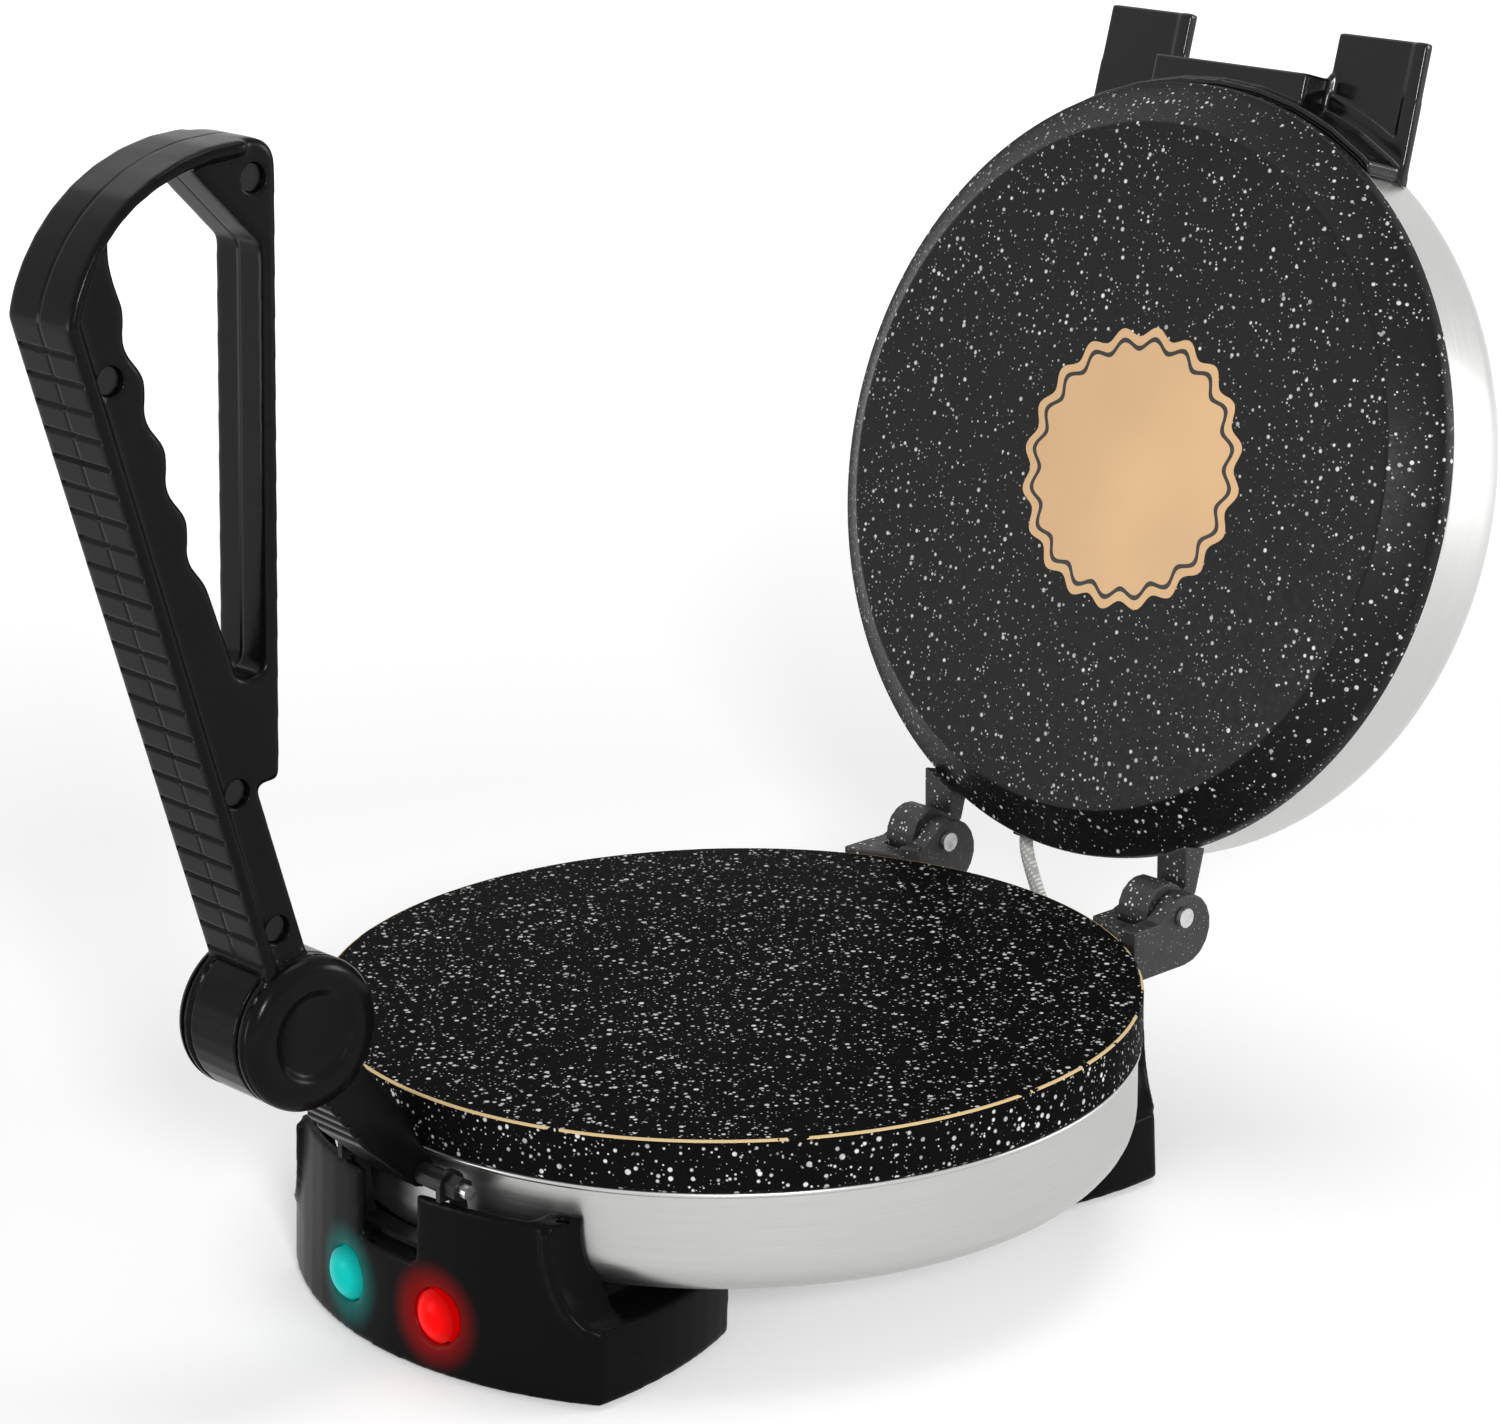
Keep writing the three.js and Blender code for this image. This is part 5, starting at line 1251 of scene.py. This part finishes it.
class ROTI_OT_feet(bpy.types.Operator):
    """Round the edges of the two moulded feet"""

    bl_idname = "roti.feet"
    bl_label = "Feet"

    def execute(self, context):
        # The front foot's finish has the lamps' glow painted round its lenses
        for node, material in (("front_foot", "lamp_housing_with_painted_glow"), ("rear_foot", "satin_phenolic")):
            turn = Matrix.Translation(PLATE_CENTRE)
            if node == "rear_foot":
                turn = turn @ Matrix.Rotation(math.pi, 4, "Z")
            piece = welded_copy(node)
            ridges = [
                pipe(ridge_line(side, turn, behind), RIDGE_RADIUS)
                for side in (1, -1) for behind in (RIDGE_RADIUS, RIDGE_SPACING)]
            piece = joined([piece, *ridges])
            holes = [
                (turn @ Vector((side * EAR_X, -EAR_Y, PLATE_LOW.z - EAR_DROP)), EAR_KEPT)
                for side in (1, -1)]
            moulded_skin(piece, sizes().foot_voxel, FOOT_PASSES, holes)
            finish_piece(piece, node + "_finished", material, "base", [node])
        return {"FINISHED"}


class ROTI_OT_lamps(bpy.types.Operator):
    """Turn the two domed lenses, hollow behind for their neon lamps"""

    bl_idname = "roti.lamps"
    bl_label = "Lamps"

    def execute(self, context):
        for colour in ("green", "red"):
            node = colour + "_lamp_lens"
            low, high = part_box(node)
            length = high.y - low.y
            flange_radius = (high.x - low.x) / 2
            dome_radius = (LENS_RADIUS ** 2 + LENS_DOME ** 2) / (2 * LENS_DOME)
            reach = math.degrees(math.asin(LENS_RADIUS / dome_radius))
            hollow = LENS_RADIUS - LENS_WALL
            profile = [
                *bow(0, length - dome_radius, dome_radius, LENS_POLE, 90 - reach),
                (LENS_RADIUS, LENS_FLANGE),
                (flange_radius, LENS_FLANGE),
                (flange_radius, 0),
                (hollow, 0),
                (hollow, length - LENS_DOME),
                (hollow / 3, length - LENS_DOME + LENS_WALL / 2),
            ]
            place = Matrix.Translation(
                (lens_centre(colour).x, high.y, lens_centre(colour).z)
            ) @ Matrix.Rotation(math.radians(90), 4, "X")
            round_node(node, profile, SMALL_ROUND_STEPS, place, colour + "_lens", "base")
        return {"FINISHED"}


class ROTI_OT_hinges(bpy.types.Operator):
    """Round the edges of the hinge castings, on the pan and on the lid"""

    bl_idname = "roti.hinges"
    bl_label = "Hinges"

    def execute(self, context):
        for side in ("right", "left"):
            skinned_node("hinge_lug_" + side, SMALL_SKIN, HINGE_PASSES, "casting", "base")
            skinned_node("hinge_arm_" + side, SMALL_SKIN, HINGE_PASSES, "casting", "lid")
        return {"FINISHED"}


def tab_panel(inner, outer, open_side, radius):
    """The shallow panel in the under side of a lifting tab, with its rim towards +X.
    Beyond the bridge it is open towards the other side."""
    bottom = []
    for i in range(PANEL_STEPS + 1):
        x = inner + (outer - inner) * i / PANEL_STEPS
        bottom.append((x, PLATE_CENTRE.y - math.sqrt(radius ** 2 - x ** 2)))
    corners = [
        *bottom, (outer, PLATE_CENTRE.y - PANEL_END), (open_side, PLATE_CENTRE.y - PANEL_END),
        (open_side, PLATE_CENTRE.y - PANEL_STEP), (inner, PLATE_CENTRE.y - PANEL_STEP)]
    clear_selection()
    outline = bpy.data.meshes.new("panel")
    outline.from_pydata(
        [(x, y, PANEL_BOTTOM) for x, y in corners], [], [list(range(len(corners)))])
    panel = bpy.data.objects.new("panel", outline)
    bpy.context.scene.collection.objects.link(panel)
    take(panel)
    draw_up(PANEL_TOP - PANEL_BOTTOM)
    return panel


class ROTI_OT_bracket(bpy.types.Operator):
    """Round the edges of the lid bracket with its two lifting tabs"""

    bl_idname = "roti.bracket"
    bl_label = "Lid Bracket"

    def execute(self, context):
        bracket = welded_copy("lid_bracket")
        settle(bracket, OPEN_LID.inverted())
        cut_away(bracket, [
            tab_panel(PANEL_INNER, PANEL_OUTER, TAB_INNER - CUT_REACH, PANEL_RADIUS),
            tab_panel(
                -TAB_OUTER - CUT_REACH, -TAB_INNER - RIM, -TAB_OUTER - CUT_REACH,
                PANEL_RADIUS - RIM)])
        moulded_skin(bracket, sizes().bracket_voxel, BRACKET_PASSES)
        settle(bracket, OPEN_LID)
        finish_piece(bracket, "lid_bracket_finished", "bracket_phenolic", "lid", ["lid_bracket"])
        return {"FINISHED"}


def even_curve(route, steps):
    """Points of the smooth curve through the points of a route, which slows where they are close."""
    before = 2 * route[0] - route[1]
    after = 2 * route[-1] - route[-2]
    places = [before, *route, after]
    points = [route[0]]
    for first, second, third, fourth in zip(places, places[1:], places[2:], places[3:]):
        lead_in = math.sqrt((second - first).length)
        span = math.sqrt((third - second).length)
        lead_out = math.sqrt((fourth - third).length)
        start_way = span * (
            (second - first) / lead_in - (third - first) / (lead_in + span)
            + (third - second) / span)
        end_way = span * (
            (third - second) / span - (fourth - second) / (span + lead_out)
            + (fourth - third) / lead_out)
        for i in range(1, steps + 1):
            t = i / steps
            rise = t * t * (3 - 2 * t)
            points.append(
                second * (1 - rise) + third * rise
                + start_way * (t * (1 - t) * (1 - t)) - end_way * (t * t * (1 - t)))
    return points


class ROTI_OT_lead(bpy.types.Operator):
    """Draw the sleeved heater lead that crosses the hinge from the pan to the lid"""

    bl_idname = "roti.lead"
    bl_label = "Heater Lead"

    def execute(self, context):
        route = [PLATE_CENTRE + Vector(point) * MM for point in LEAD_LOW_ROUTE]
        route.extend(OPEN_LID @ (PLATE_CENTRE + Vector(point) * MM) for point in LEAD_LID_ROUTE)
        points = even_curve(route, LEAD_STEPS)
        lead = pipe(points, LEAD_RADIUS)
        bpy.ops.object.shade_smooth_by_angle(angle=MOULDED_CREASE)
        finish_piece(lead, "lid_lead_finished", "sleeving", None, ["lid_lead"])
        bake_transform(lead)
        return {"FINISHED"}


# Finish of each carried-over node, by the start of its name
CARRIED_OVER = {
    "lower_heating_element": "black_steel",
    "upper_heating_element": "black_steel",
    "lower_press_plate": "zinc",
    "upper_press_plate": "zinc",
    "lower_insulation": "wool",
    "upper_insulation": "wool",
    "thermostat": "steatite",
    "terminal_block": "steatite",
    "base_bridge": "black_steel",
    "plate_centre_bolt": "zinc",
    "upper_centre_bolt": "zinc",
    "front_foot_cover": "satin_phenolic",
    "rear_foot_cover": "satin_phenolic",
    "green_neon_lamp": "glass",
    "red_neon_lamp": "glass",
    "cord_inlet_bush": "rubber",
    "rubber_foot": "rubber",
    "lead_bush": "rubber",
    "lever_bracket": "black_steel",
    "lever_pivot_pin": "zinc",
    "lever_pivot_nut": "black_steel",
    "lever_spacer": "black_steel",
    "hinge_pin": "zinc",
    "hinge_rivet": "zinc",
    "lid_bracket_screw": "zinc",
    "barrel_pin": "zinc",
    "handle_screw": "screw_steel",
}


class ROTI_OT_fittings(bpy.types.Operator):
    """Give each carried-over solid the finish of its real material"""

    bl_idname = "roti.fittings"
    bl_label = "Fittings"

    def execute(self, context):
        for name, node in frame["nodes"].items():
            if node.hide_render:
                continue
            starts = [start for start in CARRIED_OVER if name.startswith(start)]
            if not starts:
                raise RuntimeError("no finish for " + name)
            node.data.materials.clear()
            node.data.materials.append(MATERIALS[CARRIED_OVER[max(starts, key=len)]])
        return {"FINISHED"}


# Stage
FLOOR_SIZE = 12.0
FLOOR_NEAR = 0.4
FLOOR_FAR = 1.6
FLOOR_NEAR_GLOW = 0.3
FLOOR_FAR_GLOW = 0.95
DIM_SKY = 0.35
WHITE_SKY = 1.0
# Soft lights: name, place and size in metres, and power in watts
KEY_LIGHTS = (
    ("upper_left_softbox", (-1.0, 0.05, 1.25), 0.55, 1.2),
    ("front_right_softbox", (1.3, -0.9, 0.75), 0.25, 18.0),
    ("front_left_softbox", (-0.7, -1.3, 0.22), 0.5, 5.0),
    ("top_softbox", (0.15, 0.25, 1.7), 0.8, 7.0),
    ("rear_right_softbox", (1.1, 1.3, 0.45), 0.4, 8.0),
)


def area_light(name, place, size, power):
    data = bpy.data.lights.new(name, "AREA")
    data.shape = "SQUARE"
    data.size = size
    data.energy = power
    lamp = bpy.data.objects.new(name, data)
    bpy.context.scene.collection.objects.link(lamp)
    lamp.location = place
    target = (CAD_LOW + CAD_HIGH) / 2
    lamp.rotation_mode = "QUATERNION"
    lamp.rotation_quaternion = (target - Vector(place)).to_track_quat("-Z", "Y")


def seen_rays(material):
    """One where a camera, glossy or transmitted ray looks at the backdrop, and nothing elsewhere."""
    path = add_node(material, "ShaderNodeLightPath")
    total = path.outputs["Is Camera Ray"]
    for name in ("Is Glossy Ray", "Is Transmission Ray"):
        total = arithmetic(material, "MAXIMUM", total, path.outputs[name])
    return total


def paper_floor():
    """White paper: matt, and as pale as the background away from the machine's shadow."""
    paper = bpy.data.materials.new("white_paper_floor")
    paper.use_nodes = True
    paper.node_tree.nodes.clear()
    place = add_node(paper, "ShaderNodeTexCoord").outputs["Object"]
    away = add_node(paper, "ShaderNodeVectorMath", {"operation": "LENGTH"}, {0: place})
    spread = band(
        paper, away.outputs["Value"], FLOOR_NEAR_GLOW, FLOOR_FAR_GLOW, FLOOR_NEAR, FLOOR_FAR)
    level = arithmetic(paper, "MULTIPLY", seen_rays(paper), spread)
    glow = add_node(paper, "ShaderNodeEmission", links={"Strength": level})
    diffuse = add_node(paper, "ShaderNodeBsdfDiffuse", {"Color": linear_colour("#e6e6e6")})
    both = add_node(
        paper, "ShaderNodeAddShader", links={0: diffuse.outputs[0], 1: glow.outputs[0]})
    add_node(paper, "ShaderNodeOutputMaterial", links={"Surface": both.outputs[0]})
    return paper


def white_background():
    """A world that is white where it is seen and dimmer where it only lights the machine."""
    world = bpy.data.worlds.new("studio")
    world.use_nodes = True
    world.node_tree.nodes.clear()
    level = band(world, seen_rays(world), DIM_SKY, WHITE_SKY, 0.0, 1.0)
    background = add_node(
        world, "ShaderNodeBackground", {"Color": linear_colour("#ffffff")}, {"Strength": level})
    add_node(world, "ShaderNodeOutputWorld", links={"Surface": background.outputs[0]})
    return world


class ROTI_OT_stage(bpy.types.Operator):
    """Set up the pale floor, the soft lights, the white background and the camera"""

    bl_idname = "roti.stage"
    bl_label = "Stage"

    def execute(self, context):
        clear_selection()
        bpy.ops.mesh.primitive_plane_add(size=FLOOR_SIZE, location=(0, 0, 0))
        floor = bpy.context.object
        floor.name = "floor"
        floor.data.materials.append(paper_floor())
        for name, place, size, power in KEY_LIGHTS:
            area_light(name, place, size, power)
        context.scene.world = white_background()
        data = bpy.data.cameras.new("photo_camera")
        data.lens = CAMERA_LENS
        data.sensor_width = CAMERA_SENSOR
        data.clip_start = CAMERA_NEAR
        data.clip_end = CAMERA_FAR
        camera = bpy.data.objects.new("photo_camera", data)
        context.scene.collection.objects.link(camera)
        turn = Euler((math.pi / 2 - CAMERA_DROP, 0, CAMERA_HEADING)).to_matrix().to_4x4()
        roll = Matrix.Rotation(CAMERA_ROLL, 4, "Z")
        camera.matrix_world = Matrix.Translation(CAMERA_PLACE) @ turn @ roll
        context.scene.camera = camera
        context.scene.view_settings.view_transform = "Standard"
        return {"FINISHED"}


OPERATORS = (
    ROTI_OT_stage,
    ROTI_OT_lower_half,
    ROTI_OT_lid,
    ROTI_OT_badge,
    ROTI_OT_handle,
    ROTI_OT_lever,
    ROTI_OT_feet,
    ROTI_OT_lamps,
    ROTI_OT_hinges,
    ROTI_OT_lead,
    ROTI_OT_bracket,
    ROTI_OT_fittings,
)


class ROTI_PT_panel(bpy.types.Panel):
    """Lists the pieces of the roti maker, and the sizes and colours of their finish"""

    bl_idname = "ROTI_PT_panel"
    bl_label = "Roti Maker"
    bl_space_type = "VIEW_3D"
    bl_region_type = "UI"
    bl_category = "Roti Maker"

    def draw(self, context):
        for group in (context.scene.roti_maker_sizes, context.scene.roti_maker_colours):
            for name in group.__annotations__:
                self.layout.prop(group, name)
        for operator in OPERATORS:
            self.layout.operator(operator.bl_idname)


CLASSES = (RotiMakerSizes, RotiMakerColours, *OPERATORS, ROTI_PT_panel)


def register():
    for item in CLASSES:
        bpy.utils.register_class(item)
    bpy.types.Scene.roti_maker_sizes = bpy.props.PointerProperty(type=RotiMakerSizes)
    bpy.types.Scene.roti_maker_colours = bpy.props.PointerProperty(type=RotiMakerColours)


def unregister():
    del bpy.types.Scene.roti_maker_colours
    del bpy.types.Scene.roti_maker_sizes
    for item in reversed(CLASSES):
        bpy.utils.unregister_class(item)


def main():
    register()
    make_materials()
    for operator in OPERATORS:
        group, name = operator.bl_idname.split(".")
        getattr(getattr(bpy.ops, group), name)()


if __name__ == "__main__":
    main()
